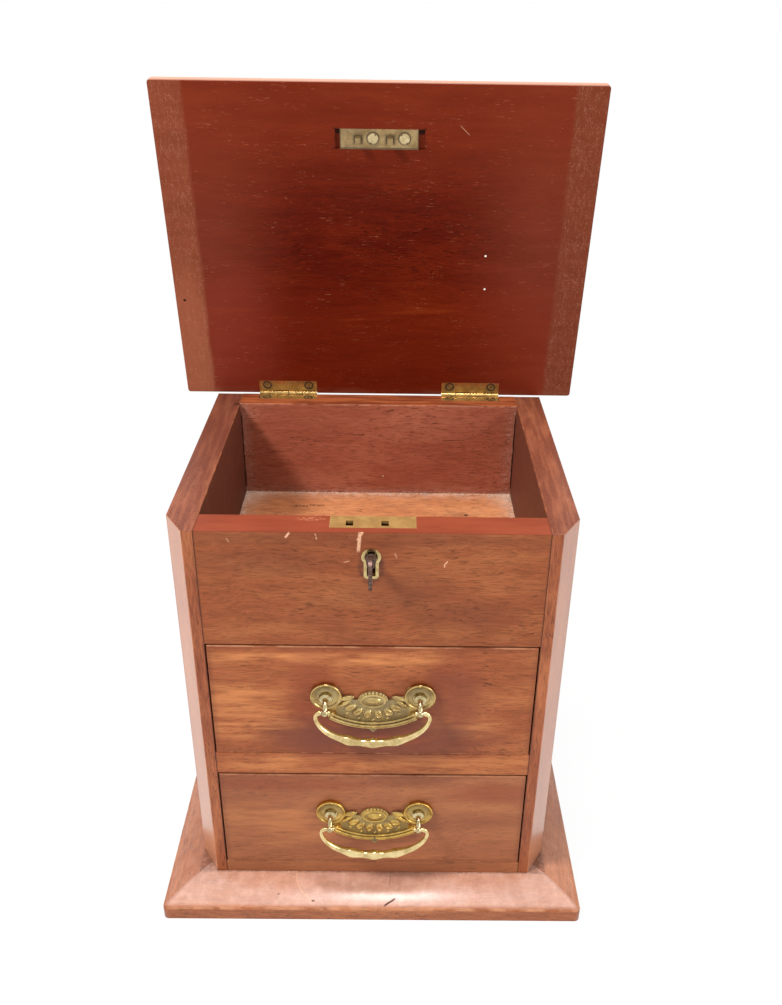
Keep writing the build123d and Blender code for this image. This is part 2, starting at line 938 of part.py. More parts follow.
# Key: bit, pipe shank with collars, and oval bow
with BuildPart() as key:
    key_outline = [(front_y - key_inner_y, 0), (front_y - key_inner_y, key_shank_radius)]
    for number in range(key_collar_count):
        collar_start = key_collar_start + number * key_collar_pitch
        collar_end = collar_start + key_collar_length
        collar_crest = key_collar_radius - number * key_collar_taper
        collar_root = key_shank_radius - number * key_shank_taper
        key_outline += [
            (collar_start, collar_root),
            (collar_start + key_collar_bevel, collar_crest),
            (collar_end - key_collar_bevel, collar_crest),
            (collar_end, collar_root - key_shank_taper),
        ]
    shank_end = key_neck + key_bow_rim / 2
    key_outline += [(shank_end, collar_root - key_shank_taper), (shank_end, 0)]
    with BuildSketch(Plane(origin=(keyhole_x, front_y, key_z), x_dir=(0, -1, 0), z_dir=(1, 0, 0))):
        with BuildLine():
            Polyline(*key_outline, close=True)
        make_face()
    revolve(axis=Axis((keyhole_x, front_y, key_z), (0, 1, 0)))
    with BuildSketch(front_plane.offset(front_y - key_inner_y)):
        with Locations(key_centre):
            Circle(key_bore_radius)
    extrude(amount=key_inner_y - front_y - key_neck / 2 + key_pipe_spare, mode=Mode.SUBTRACT)
    bit_low_y = lock_case_y + lock_case_wall + bolt_play
    block(
        keyhole_x - key_bit_thickness / 2,
        keyhole_x + key_bit_thickness / 2,
        bit_low_y,
        key_inner_y - bolt_play,
        key_z - key_bit_radius,
        key_z - key_bore_radius - key_bit_root,
    )
    ward_y = (bit_low_y + key_inner_y) / 2
    block(
        keyhole_x - key_bit_thickness / 2,
        keyhole_x + key_bit_thickness / 2,
        ward_y - key_ward_width / 2,
        ward_y + key_ward_width / 2,
        key_z - key_bit_radius,
        key_z - key_bit_radius / 2,
        mode=Mode.SUBTRACT,
    )
    bow_plane = Plane(
        origin=(keyhole_x - key_bow_thickness / 2, front_y - key_neck - key_bow_length / 2, key_z),
        x_dir=(0, 1, 0),
        z_dir=(1, 0, 0),
    )
    with BuildSketch(bow_plane):
        Ellipse(key_bow_length / 2, key_bow_height / 2)
        Ellipse(
            key_bow_length / 2 - key_bow_rim,
            key_bow_height / 2 - key_bow_rim,
            mode=Mode.SUBTRACT,
        )
    extrude(amount=key_bow_thickness)
save(key.part, "key")

# Drawers: lapped dovetails at the front, back board in grooves, bottom slid in from behind
drawer_half = half_inside - drawer_side_gap
drawer_inner = drawer_half - drawer_side_thickness
drawer_front_y = front_y + drawer_front_thickness
drawer_back_y = front_y + drawer_depth


def dovetails(side_bottom, side_top, end_x, thickness, mode):
    """Tails on the front end of a drawer side, or their sockets in the front."""
    pitch = (side_top - side_bottom) / dovetail_count
    with BuildSketch(Plane.YZ.offset(end_x)) as tails:
        for number in range(dovetail_count):
            middle = side_bottom + (number + 0.5) * pitch
            root = (pitch - dovetail_gap) / 2
            with BuildLine():
                Polyline(
                    (drawer_front_y, middle - root),
                    (front_y + dovetail_lap, middle - root - dovetail_flare),
                    (front_y + dovetail_lap, middle + root + dovetail_flare),
                    (drawer_front_y, middle + root),
                    close=True,
                )
            make_face()
    extrude(tails.sketch, amount=thickness, mode=mode)


def post_holes(handle_x, handle_z):
    """Holes for the two handle posts through the drawer front."""
    with BuildSketch(front_plane) as holes:
        with Locations((handle_x, handle_z)):
            with GridLocations(post_spacing, 0, 2, 1):
                Circle(stud_radius + stud_play)
    extrude(holes.sketch, amount=-drawer_front_thickness, mode=Mode.SUBTRACT)


def make_drawer(name, floor, opening, handle_x, handle_z):
    """One drawer, standing on the board or rail whose top is at floor."""
    low = floor + drawer_bottom_gap
    high = floor + opening - drawer_top_gap
    side_high = high - drawer_side_drop
    groove_low = low + drawer_groove_lift
    groove_high = groove_low + drawer_bottom_thickness
    groove_half = drawer_inner + drawer_groove_depth

    with BuildPart() as front:
        block(-drawer_half, drawer_half, front_y, drawer_front_y, low, high)
        for end_x in (-drawer_half, drawer_inner):
            dovetails(low, side_high, end_x, drawer_side_thickness, Mode.SUBTRACT)
        block(
            -drawer_inner,
            drawer_inner,
            drawer_front_y - drawer_groove_depth,
            drawer_front_y,
            groove_low,
            groove_high,
            mode=Mode.SUBTRACT,
        )
        post_holes(handle_x, handle_z)
    save(front.part, f"{name}_drawer_front")

    with BuildPart() as left:
        block(-drawer_half, -drawer_inner, drawer_front_y, drawer_back_y, low, side_high)
        dovetails(low, side_high, -drawer_half, drawer_side_thickness, Mode.ADD)
        block(
            -groove_half,
            -drawer_inner,
            drawer_front_y - drawer_groove_depth,
            drawer_back_y,
            groove_low,
            groove_high,
            mode=Mode.SUBTRACT,
        )
        block(
            -groove_half,
            -drawer_inner,
            drawer_back_y - 2 * drawer_back_thickness,
            drawer_back_y - drawer_back_thickness,
            groove_high,
            side_high,
            mode=Mode.SUBTRACT,
        )
    save(left.part, f"{name}_drawer_left_side")

    with BuildPart() as right:
        mirror(left.part, about=Plane.YZ)
    save(right.part, f"{name}_drawer_right_side")

    with BuildPart() as back:
        block(
            -groove_half,
            groove_half,
            drawer_back_y - 2 * drawer_back_thickness,
            drawer_back_y - drawer_back_thickness,
            groove_high,
            high - drawer_back_drop,
        )
    save(back.part, f"{name}_drawer_back")

    with BuildPart() as bottom:
        block(
            -drawer_inner,
            drawer_inner,
            drawer_front_y - drawer_groove_depth,
            drawer_back_y,
            groove_low,
            groove_high,
        )
        block(-groove_half, groove_half, drawer_front_y, drawer_back_y, groove_low, groove_high)
    save(bottom.part, f"{name}_drawer_bottom")


upper_handle_z = upper_floor_z + upper_opening / 2 + upper_handle_rise
lower_handle_z = lower_floor_z + lower_opening / 2 + lower_handle_rise
make_drawer("upper", upper_floor_z, upper_opening, upper_handle_x, upper_handle_z)
make_drawer("lower", lower_floor_z, lower_opening, lower_handle_x, lower_handle_z)

# Handles: an embossed plate between two dished roses, two posts and a swinging bail.
# All are drawn once about the point midway between the posts on the drawer's face.
handle_face = Plane(origin=(0, 0, 0), x_dir=(1, 0, 0), z_dir=(0, -1, 0))
half_posts = post_spacing / 2
border_rise = plate_drop - plate_end_drop
border_radius = (plate_end_x**2 + border_rise**2) / (2 * border_rise)
border_centre = border_radius - plate_drop
border_turn = asin(plate_end_x / border_radius)


def raised_drop(length, width, height):
    """Rounded drop along X for embossing, with a flat bed just under the surface."""
    rise = height + drop_bed
    round_radius = (width**2 / 4 + rise**2) / (2 * rise)
    half_long = length * round_radius / width
    with BuildPart() as drop:
        with BuildSketch(Plane.XY):
            with BuildLine():
                bow = EllipticalCenterArc((0, 0), half_long, round_radius, start_angle=0, arc_size=180)
                Line(bow @ 0, bow @ 1)
            make_face()
        revolve(axis=Axis.X)
        split(bisect_by=Plane.XY.offset(round_radius - rise))
    return drop.part.moved(Location((0, 0, height - round_radius)))


leaf = raised_drop(leaf_length, leaf_width_widest, leaf_height)
bead = raised_drop(bead_size, bead_size, bead_height)
gadroon = raised_drop(gadroon_size, gadroon_size, gadroon_height)
boss = raised_drop(boss_width, boss_height, boss_rise)
scroll = raised_drop(scroll_eye, scroll_eye, scroll_eye_height)
cup = raised_drop(lobe_cup_length, lobe_cup_width, lobe_cup_depth)
with BuildPart() as lobe:
    add(raised_drop(lobe_length, lobe_width, lobe_height))
    with Locations(Location((0, 0, lobe_height), (180, 0, 0))):
        add(cup, mode=Mode.SUBTRACT)


def fan_place(turn, reach):
    """Place on the fan, by degrees from straight down, turned to point at the cartouche."""
    across = fan_stretch * reach * sin(radians(turn))
    drop = reach * cos(radians(turn))
    spin = degrees(atan2(-drop, across))
    return sheet_face.location * Location((across, -cartouche_drop - drop, 0), (0, 0, spin))


def gadroon_place(number):
    """Place of one bead round the upper half of the cartouche's edge."""
    turn = pi * (number + 0.5) / gadroon_count
    across = (cartouche_width / 2 - gadroon_inset) * cos(turn)
    up = (cartouche_height / 2 - gadroon_inset) * sin(turn)
    return sheet_face.location * Location((across, up - cartouche_drop, 0))


sheet_face = handle_face.offset(plate_thickness)
gadroons = [gadroon_place(number) for number in range(gadroon_count)]
odd_steps = [number - (lobe_count - 1) / 2 for number in range(lobe_count)]
even_steps = [number - lobe_count / 2 for number in range(lobe_count + 1)]
leaf_places = [
    sheet_face.location * Location((side * across, -drop, 0), (0, 0, -side * spin))
    for side in (-1, 1)
    for across, drop, spin in (
        (leaf_x, leaf_drop, leaf_turn),
        (upper_leaf_x, upper_leaf_drop, upper_leaf_turn),
    )
]
scroll_places = [
    sheet_face.location * Location((side * scroll_x, -scroll_drop, 0)) for side in (-1, 1)
]

# Dished rose with a rolled rim, bored for its post
with BuildPart() as rose:
    with BuildSketch(Plane.XZ):
        with BuildLine():
            outside = Polyline(
                (stud_radius, 0), (rose_radius, 0), (rose_radius, rose_rim_height - rose_rim / 2)
            )
            crest = ThreePointArc(
                outside @ 1,
                (rose_radius - rose_rim / 2, rose_rim_height),
                (rose_radius - rose_rim, rose_rim_height - rose_rim / 4),
            )
            dish = ThreePointArc(
                crest @ 1,
                ((rose_radius + collar_radius) / 2, rose_dish_height),
                (collar_radius, rose_seat_height),
            )
            Polyline(dish @ 1, (stud_radius, rose_seat_height), (stud_radius, 0))
        make_face()
    revolve(axis=Axis.Z)

cartouche_sunk = cartouche_rim + cartouche_ring
with BuildPart() as handle_plate:
    with BuildSketch(handle_face):
        with BuildLine():
            foot = ThreePointArc(
                (-plate_end_x, -plate_end_drop), (0, -plate_drop), (plate_end_x, -plate_end_drop)
            )
            dip = ThreePointArc(
                (half_posts - rose_radius / 2, plate_shoulder),
                (0, -plate_dip),
                (rose_radius / 2 - half_posts, plate_shoulder),
            )
            Line(foot @ 1, dip @ 0)
            Line(dip @ 1, foot @ 0)
        make_face()
        with Locations((-half_posts, 0), (half_posts, 0)):
            Circle(rose_radius - rose_rim)
            Circle(rose_radius / 2, mode=Mode.SUBTRACT)
        with Locations((-scroll_x, -scroll_drop), (scroll_x, -scroll_drop)):
            Circle(scroll_radius)
        with Locations((0, -plate_drop)):
            Rectangle(pip_size, pip_size, rotation=45)
        with Locations((0, -cartouche_drop)):
            Ellipse(cartouche_width / 2, cartouche_height / 2)
    extrude(amount=plate_thickness)
    # Border: a bead, a shallow cove and a rolled edge, turned about the foot's own centre
    border_plane = Plane(
        origin=(0, 0, border_centre),
        x_dir=(0, -1, 0),
        z_dir=(cos(border_turn), 0, -sin(border_turn)),
    )
    border_inner = border_radius - border_width
    with BuildSketch(border_plane):
        with BuildLine():
            rise = Polyline((0, border_inner), (plate_thickness, border_inner))
            roll = ThreePointArc(
                rise @ 1,
                (border_height, border_inner + border_bead / 2),
                (plate_thickness, border_inner + border_bead),
            )
            groove = Line(
                roll @ 1, (plate_thickness, border_inner + border_bead + border_groove)
            )
            edge = ThreePointArc(
                groove @ 1,
                (border_height, (border_inner + border_bead + border_groove + border_radius) / 2),
                (plate_thickness / 2, border_radius),
            )
            Polyline(edge @ 1, (0, border_radius), (0, border_inner))
        make_face()
    revolve(
        axis=Axis((0, 0, border_centre), (0, -1, 0)), revolution_arc=2 * degrees(border_turn)
    )
    # Cartouche: an oval step with a sunk ring and a domed boss
    with BuildSketch(sheet_face):
        with Locations((0, -cartouche_drop)):
            Ellipse(cartouche_width / 2 - cartouche_rim, cartouche_height / 2 - cartouche_rim)
    extrude(amount=cartouche_rise)
    with BuildSketch(sheet_face.offset(cartouche_rise)):
        with Locations((0, -cartouche_drop)):
            Ellipse(cartouche_width / 2 - cartouche_sunk, cartouche_height / 2 - cartouche_sunk)
    extrude(amount=-cartouche_rise / 2, mode=Mode.SUBTRACT)
    with Locations(sheet_face.location * Location((0, -cartouche_drop, cartouche_rise / 2))):
        add(boss)
    # Fan of lobes, with beads between them and over the cartouche, and leaves by the roses
    with Locations(*[fan_place(lobe_step * n, lobe_reach) for n in odd_steps]):
        add(lobe.part)
    with Locations(*[fan_place(lobe_step * n, bead_reach) for n in even_steps]):
        add(bead)
    with Locations(*gadroons):
        add(gadroon)
    with Locations(*leaf_places):
        add(leaf)
    with Locations(*scroll_places):
        add(scroll)
    with Locations(
        handle_face.location * Location((-half_posts, 0, 0)),
        handle_face.location * Location((half_posts, 0, 0)),
    ):
        add(rose.part)

# Post: stud, ringed collar, swan neck and a ball bored across for the bail
stud_end = drawer_front_thickness + nut_thickness + stud_proud
first_ring_top = rose_seat_height + collar_ring
collar_top = first_ring_top + collar_groove_width + collar_ring
with BuildPart() as post:
    with BuildSketch(Plane.XZ):
        with BuildLine():
            Polyline(
                (0, -stud_end),
                (stud_radius, -stud_end),
                (stud_radius, rose_seat_height),
                (collar_radius, rose_seat_height),
                (collar_radius, first_ring_top),
                (collar_radius - collar_groove, first_ring_top),
                (collar_radius - collar_groove, first_ring_top + collar_groove_width),
                (collar_radius - second_ring_inset, first_ring_top + collar_groove_width),
                (collar_radius - second_ring_inset, collar_top),
                (neck_radius + neck_flare, collar_top + neck_shoulder),
                (0, collar_top + neck_shoulder),
                close=True,
            )
        make_face()
    revolve(axis=Axis.Z)
    with BuildLine(Plane.YZ) as neck:
        TangentArc((0, collar_top), (-eye_drop, eye_reach), tangent=(0, 1))
    with BuildSketch(Plane(neck.line @ 0, z_dir=neck.line % 0)):
        Circle(neck_radius)
    sweep(path=neck.line)
    with Locations(Location((0, -eye_drop, eye_reach), (0, 90, 0))):
        Sphere(eye_ball_radius)
        Cylinder(eye_hole_radius, 3 * eye_ball_radius, mode=Mode.SUBTRACT)

with BuildPart() as handle_posts:
    with Locations(
        handle_face.location * Location((-half_posts, 0, 0)),
        handle_face.location * Location((half_posts, 0, 0)),
    ):
        add(post.part)

# Square nuts on the studs, inside the drawer
with BuildPart() as handle_nuts:
    with BuildSketch(handle_face.offset(-drawer_front_thickness)):
        with GridLocations(post_spacing, 0, 2, 1):
            Rectangle(nut_size, nut_size)
            Circle(stud_radius, mode=Mode.SUBTRACT)
    extrude(amount=-nut_thickness)

# Bail: pins in the eyes, hooks, and a bow that swells to a grip with three knops
hang = Plane(origin=(0, -eye_reach, -eye_drop), x_dir=(1, 0, 0), z_dir=(0, -1, 0))
hook_x = bail_half_width - bail_hook
tip_x = half_posts - eye_ball_radius - bail_tip_proud
pin_radius = eye_hole_radius - eye_play


def bail_radius(across, drop):
    """Radius of the bail where it hangs at a place across and down from its pins."""
    share = min(1.0, max(0.0, (drop / bail_drop - 0.3) / 0.7))
    swell = share * share * (3 - 2 * share)
    knop = sum(
        max(0.0, 1 - ((across - middle) / bail_knop_reach) ** 2) ** 2
        for middle in (-bail_knop_spacing, 0, bail_knop_spacing)
    )
    grip = bail_valley_radius + (bail_knop_radius - bail_valley_radius) * knop
    return bail_hook_radius + (grip - bail_hook_radius) * swell


with BuildLine(hang) as bail_route:
    left_hook = RadiusArc((-hook_x, 0), (-bail_half_width, -bail_hook), -bail_hook)
    bow = EllipticalCenterArc(
        (0, -bail_hook), bail_half_width, bail_drop - bail_hook, start_angle=180, arc_size=180
    )
    right_hook = RadiusArc((bail_half_width, -bail_hook), (hook_x, 0), -bail_hook)

stations = [(left_hook, 0.0), (left_hook, 0.5)]
stations += [(bow, number / bow_stations) for number in range(bow_stations + 1)]
stations += [(right_hook, 0.5), (right_hook, 1.0)]
with BuildPart() as bail:
    for curve, share in stations:
        spot = curve @ share
        with BuildSketch(Plane(spot, x_dir=(0, 1, 0), z_dir=curve % share)):
            Circle(bail_radius(spot.X, -spot.Z - eye_drop))
    loft()
    for side in (-1, 1):
        with BuildSketch(Plane(origin=(side * tip_x, -eye_reach, -eye_drop), z_dir=(side, 0, 0))):
            Circle(pin_radius)
        extrude(amount=hook_x - tip_x)

for name, handle_x, handle_z in (
    ("upper", upper_handle_x, upper_handle_z),
    ("lower", lower_handle_x, lower_handle_z),
):
    place = Location((handle_x, front_y, handle_z))
    save(handle_plate.part.moved(place), f"{name}_handle_plate")
    save(handle_posts.part.moved(place), f"{name}_handle_posts")
    save(handle_nuts.part.moved(place), f"{name}_handle_nuts")
    save(bail.part.moved(place), f"{name}_bail")
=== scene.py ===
import json
from functools import reduce
from math import cos, radians, sin

import bmesh
import bpy
from mathutils import Matrix, Vector

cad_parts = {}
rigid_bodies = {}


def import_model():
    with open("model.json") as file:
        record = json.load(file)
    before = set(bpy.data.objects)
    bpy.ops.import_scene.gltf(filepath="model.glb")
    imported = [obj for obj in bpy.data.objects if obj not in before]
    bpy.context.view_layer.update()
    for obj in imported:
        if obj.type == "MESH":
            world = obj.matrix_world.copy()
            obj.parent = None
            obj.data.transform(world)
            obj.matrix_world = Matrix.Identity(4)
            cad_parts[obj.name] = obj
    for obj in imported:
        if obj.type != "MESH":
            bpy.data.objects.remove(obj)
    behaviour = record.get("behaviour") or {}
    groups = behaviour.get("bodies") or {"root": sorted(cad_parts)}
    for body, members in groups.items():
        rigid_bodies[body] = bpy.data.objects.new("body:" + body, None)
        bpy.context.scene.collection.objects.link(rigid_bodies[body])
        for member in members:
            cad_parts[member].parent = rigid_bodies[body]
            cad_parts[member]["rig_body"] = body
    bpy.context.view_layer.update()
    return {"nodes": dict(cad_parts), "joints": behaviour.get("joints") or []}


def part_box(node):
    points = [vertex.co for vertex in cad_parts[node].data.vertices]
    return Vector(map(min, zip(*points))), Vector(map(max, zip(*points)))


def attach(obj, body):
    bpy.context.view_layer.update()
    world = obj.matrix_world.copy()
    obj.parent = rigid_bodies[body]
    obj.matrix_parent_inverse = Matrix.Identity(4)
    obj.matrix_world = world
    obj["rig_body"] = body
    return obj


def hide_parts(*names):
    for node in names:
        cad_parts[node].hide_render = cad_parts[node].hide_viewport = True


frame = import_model()
nodes = frame["nodes"]

# The carcase sides: two upright mahogany boards, glued, stained red-brown and polished.
# Their front corners are chamfered, the polish there is thicker, and they are painted paler as a
# painted sheen.
# Every arris is just broken, which gives each board its thin bright edge.
MM = 1000.0


def box_mm(node):
    """Lowest and highest corner of a CAD node, in millimetres."""
    return [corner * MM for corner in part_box(node)]


foot_z, rim_z = (corner.z for corner in box_mm("left_side"))
side_x = box_mm("right_side")[1].x
front_y = box_mm("front_panel")[0].y
inner_x = box_mm("front_panel")[1].x
floor_z = box_mm("compartment_floor")[1].z
back_inner_y = box_mm("back_board")[0].y
chamfer_across = 12.3
chamfer_along = 18.5
arris = 0.00035


class Wire:
    """A socket in a node tree. Sums written on wires become Math nodes."""

    def __init__(self, home, socket):
        self.home = home
        self.socket = socket

    def maths(self, operation, *values):
        return self.home.node("ShaderNodeMath", {"operation": operation}, dict(enumerate(values)))

    def __add__(self, other):
        return self.maths("ADD", self, other)

    __radd__ = __add__

    def __mul__(self, other):
        return self.maths("MULTIPLY", self, other)

    __rmul__ = __mul__

    def __sub__(self, other):
        return self.maths("SUBTRACT", self, other)

    def __rsub__(self, other):
        return self.maths("SUBTRACT", other, self)

    def __abs__(self):
        return self.maths("ABSOLUTE", self)

    def __pow__(self, other):
        return self.maths("POWER", self, other)

    def least(self, other):
        return self.maths("MINIMUM", self, other)

    def most(self, other):
        return self.maths("MAXIMUM", self, other)

    def ease(self, start, end, low=0.0, high=1.0):
        """Runs smoothly from low at start to high at end, and stays there beyond."""
        settings = {"interpolation_type": "SMOOTHSTEP"}
        ends = {0: self, 1: start, 2: end, 3: low, 4: high}
        if start > end:
            ends = {0: self, 1: end, 2: start, 3: high, 4: low}
        return self.home.node("ShaderNodeMapRange", settings, ends)


class Tree:
    """A node tree under construction."""

    def __init__(self, tree):
        self.tree = tree

    def node(self, kind, settings=None, values=None, output=0):
        """Adds one node: its settings first, then the values or wires of its sockets."""
        made = self.tree.nodes.new(kind)
        for name, value in (settings or {}).items():
            setattr(made, name, value)
        for name, value in (values or {}).items():
            if isinstance(value, Wire):
                self.tree.links.new(value.socket, made.inputs[name])
            else:
                made.inputs[name].default_value = value
        return Wire(self, made.outputs[output])


def colour(value):
    """A colour as Blender wants it, from a wire or from red, green and blue."""
    return value if isinstance(value, Wire) else (*value, 1.0)


def greatest(shares):
    """The greatest of several shares at each point."""
    return reduce(Wire.most, shares)


def distance(across, up, place):
    """Distance from a place, measured along two wires."""
    return ((across - place[0]) ** 2.0 + (up - place[1]) ** 2.0) ** 0.5


class Finish(Tree):
    """A material under construction, with its object coordinates in millimetres."""

    def __init__(self, name, **shader):
        self.material = bpy.data.materials.new(name)
        self.material.use_nodes = True
        super().__init__(self.material.node_tree)
        self.shader = self.tree.nodes["Principled BSDF"]
        for socket, value in shader.items():
            title = socket.replace("_", " ").title().replace("Ior", "IOR")
            self.shader.inputs[title].default_value = value
        place = self.node("ShaderNodeTexCoord", output="Object")
        self.place = self.node("ShaderNodeVectorMath", {"operation": "SCALE"}, {0: place, 3: MM})
        self.x, self.y, self.z = self.split(self.place)

    def split(self, place):
        """The three coordinates of a place."""
        return [self.node("ShaderNodeSeparateXYZ", {}, {0: place}, output) for output in range(3)]

    def mix(self, share, under, over):
        """One colour gone over with another by share."""
        values = {0: share, 6: colour(under), 7: colour(over)}
        return self.node("ShaderNodeMix", {"data_type": "RGBA"}, values, 2)

    def noise(self, size, detail=2.0, rough=0.5, stretch=(1, 1, 1), shift=(0, 0, 0), place=None):
        """Soft noise with lumps of about that size in millimetres, stretched along axes."""
        scaled = self.node(
            "ShaderNodeVectorMath",
            {"operation": "MULTIPLY_ADD"},
            {0: place or self.place, 1: [1 / (size * along) for along in stretch], 2: shift},
        )
        values = {"Vector": scaled, "Scale": 1.0, "Detail": detail, "Roughness": rough}
        return self.node("ShaderNodeTexNoise", {}, values)

    def spot(self, x, z, half_x, half_z, soft=0.5, over=None):
        """Oval patch round a place on the front, or on another face with its own height."""
        across = (self.x - x) * (1 / half_x)
        up = ((over or self.z) - z) * (1 / half_z)
        return (across * across + up * up).ease(1 + soft, 1 - soft)

    def spots(self, rows, over=None):
        """The most of several patches, each written as spot's own values and a share."""
        return greatest(self.spot(*values, over) * share for *values, share in rows)

    def stroke(self, start, end, half_width, over=None):
        """Thin straight mark between two places, tapering at its ends."""
        run = Vector(end) - Vector(start)
        length = run.length
        along_x, along_z = run.x / length, run.y / length
        dx, dz = self.x - start[0], (over or self.z) - start[1]
        along = dx * along_x + dz * along_z
        across = abs(dx * -along_z + dz * along_x)
        ends = abs(along - length / 2).ease(length / 2, length * 0.3)
        return across.ease(half_width * 1.4, half_width * 0.5) * ends

    def strokes(self, rows, over=None):
        """The most of several marks, each written as its two ends, half width and share."""
        return greatest(self.stroke(*values, over) * share for *values, share in rows)

    def close(self, base, roughness, relief=None, depth=0.05, **others):
        """Wires the finished colour, roughness and relief, relief depth in millimetres."""
        sockets = {"Base Color": base, "Roughness": roughness}
        sockets.update({name.replace("_", " ").title(): value for name, value in others.items()})
        for socket, value in sockets.items():
            self.tree.links.new(value.socket, self.shader.inputs[socket])
        if relief is not None:
            values = {"Strength": 1.0, "Distance": depth / MM, "Height": relief}
            bump = self.node("ShaderNodeBump", {}, values)
            self.tree.links.new(bump.socket, self.shader.inputs["Normal"])
        return self.material


def mahogany(finish, tones, along, seed, place=None):
    """Colour, relief and fibre of mahogany, its grain along one axis: dark, middle and
    light streaks, fine fibre, and open pores that hold darker polish."""
    dark, middle, light = tones
    place = place or finish.place
    axis = "xyz".index(along)
    shift = (seed, seed * 1.7, seed * 0.6)

    def run(length):
        return [length if number == axis else 1 for number in range(3)]

    wander = finish.noise(70, 2, shift=shift, place=place)
    drift = finish.node("ShaderNodeVectorMath", {"operation": "SCALE"}, {0: wander, 3: 14.0})
    bent = finish.node("ShaderNodeVectorMath", {"operation": "ADD"}, {0: place, 1: drift})
    broad = finish.noise(22, 3, 0.6, run(3.5), shift, bent)
    bands = finish.noise(3.0, 4, 0.7, run(14), shift, bent)
    fibre = finish.noise(0.8, 4, 0.7, run(14), shift, bent)
    pores = finish.noise(0.9, 2, 0.6, run(8), shift, bent).ease(0.57, 0.68)
    crowded = finish.noise(26, 2, 0.5, run(2), shift, bent).ease(0.36, 0.60, 0.35, 1.0)
    base = finish.mix(bands.ease(0.28, 0.72), dark, middle)
    base = finish.mix(broad.ease(0.40, 0.70) * 0.7, base, light)
    base = finish.mix(fibre.ease(0.57, 0.32) * 0.55, base, [part * 0.5 for part in dark])
    base = finish.mix(fibre.ease(0.55, 0.75) * 0.32, base, light)
    base = finish.mix(pores * crowded * 0.72, base, [part * 0.25 for part in dark])
    return base, fibre * 0.5 - pores * 0.8, fibre


def top_of_rim(finish):
    """The upper face of a board that reaches the rim."""
    return finish.z.ease(rim_z - 0.5, rim_z - 0.2)


def eased_board(node, material, width=arris):
    """A board cut from its CAD node's mesh, with its arrises broken, standing for it."""
    source = nodes[node]
    work = bmesh.new()
    work.from_mesh(source.data)
    bmesh.ops.remove_doubles(work, verts=work.verts, dist=2e-6)
    bmesh.ops.dissolve_limit(work, angle_limit=radians(2), verts=work.verts, edges=work.edges)
    mesh = bpy.data.meshes.new(node + "_eased")
    work.to_mesh(mesh)
    work.free()
    board = bpy.data.objects.new(node + "_eased", mesh)
    bpy.context.scene.collection.objects.link(board)
    ease = board.modifiers.new("arris", "BEVEL")
    ease.width = width
    ease.segments = 2
    ease.limit_method = "ANGLE"
    ease.angle_limit = radians(35)
    graph = bpy.context.evaluated_depsgraph_get()
    board.data = bpy.data.meshes.new_from_object(board.evaluated_get(graph))
    board.modifiers.clear()
    board.data.materials.clear()
    board.data.materials.append(material)
    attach(board, source["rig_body"])
    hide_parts(node)


deep_red = (0.20, 0.046, 0.016)
red_brown = (0.33, 0.088, 0.031)
orange_brown = (0.42, 0.135, 0.048)
honey = (0.56, 0.22, 0.085)
painted_chamfer_sheen = (0.64, 0.29, 0.155)
grime = (0.045, 0.016, 0.009)
split_corner_x = -107.5

side = Finish("side_mahogany", specular_ior_level=0.2, coat_roughness=0.14, coat_ior=1.65)
grain, relief, fibre = mahogany(side, (deep_red, red_brown, orange_brown), "z", 3.1)

end_grain = side.noise(1.2, 3, 0.6, shift=(5, 1, 2)).ease(0.3, 0.7)
end_grain = side.mix(end_grain, (0.10, 0.026, 0.014), (0.185, 0.052, 0.027))
rubbed = side.noise(3.2, 4, 0.65, (1, 12, 1), (3, 3, 3)).ease(0.40, 0.7)
end_grain = side.mix(rubbed * 0.45, end_grain, (0.36, 0.12, 0.055))
fingered = side.noise(18, 4, 0.6, (1, 2.5, 1), (4, 1, 3)).ease(0.52, 0.7)
end_grain = side.mix(fingered * 0.3, end_grain, (0.42, 0.15, 0.075))
# Painted shade: the rim's end grain is darker towards the left and towards the back.
painted_shade_left_rear = side.x.ease(0, -20) * side.y.ease(-70, 30)
end_grain = side.mix(painted_shade_left_rear * 0.5, end_grain, (0.075, 0.020, 0.014))
grain = side.mix(top_of_rim(side), grain, end_grain)

inner_face = abs(side.x).ease(inner_x + 0.5, inner_x + 0.15) * side.z.ease(floor_z - 1, floor_z)
raw = side.mix(side.noise(9, 4, 0.6), (0.085, 0.024, 0.013), (0.17, 0.05, 0.027))
grain = side.mix(inner_face, grain, raw)
inner_edge = (abs(side.x) - inner_x).ease(1.2, 0.3) * side.z.ease(rim_z - 1.6, rim_z - 0.6)
inner_edge = inner_edge * (side.y - front_y).ease(18, 21)
worn = side.noise(9, 4, shift=(1, 8, 1)).ease(0.40, 0.65)
grain = side.mix(inner_edge * worn * 0.4, grain, orange_brown)
split = (side.x - split_corner_x) ** 2.0 * 0.25 + (side.y - back_inner_y + 1) ** 2.0 * 0.2
split = split.ease(1.6, 0.5) * side.z.ease(rim_z - 6, rim_z - 1)
grain = side.mix(split * 0.9, grain, grime)

corner_across = (abs(side.x) - side_x) * (1 / chamfer_across)
corner_along = (side.y - front_y) * (1 / chamfer_along)
on_chamfer = (corner_across - corner_along).ease(-1.05, -0.97)
front_line = abs(abs(side.x) - (side_x - chamfer_across)) + abs(side.y - front_y)
worn = side.noise(12, 3).ease(0.4, 0.65)
grain = side.mix(front_line.ease(1.2, 0.2) * worn * 0.25, grain, honey)
# Painted sheen: the chamfers are painted a paler pink that stands in for the reflection their
# polish shows.
grain = side.mix(on_chamfer * 0.5, grain, painted_chamfer_sheen)
outer_line = abs(abs(side.x) - side_x) + abs(side.y - front_y - chamfer_along)
grain = side.mix(outer_line.ease(1.5, 0.3) * 0.35, grain, deep_red)

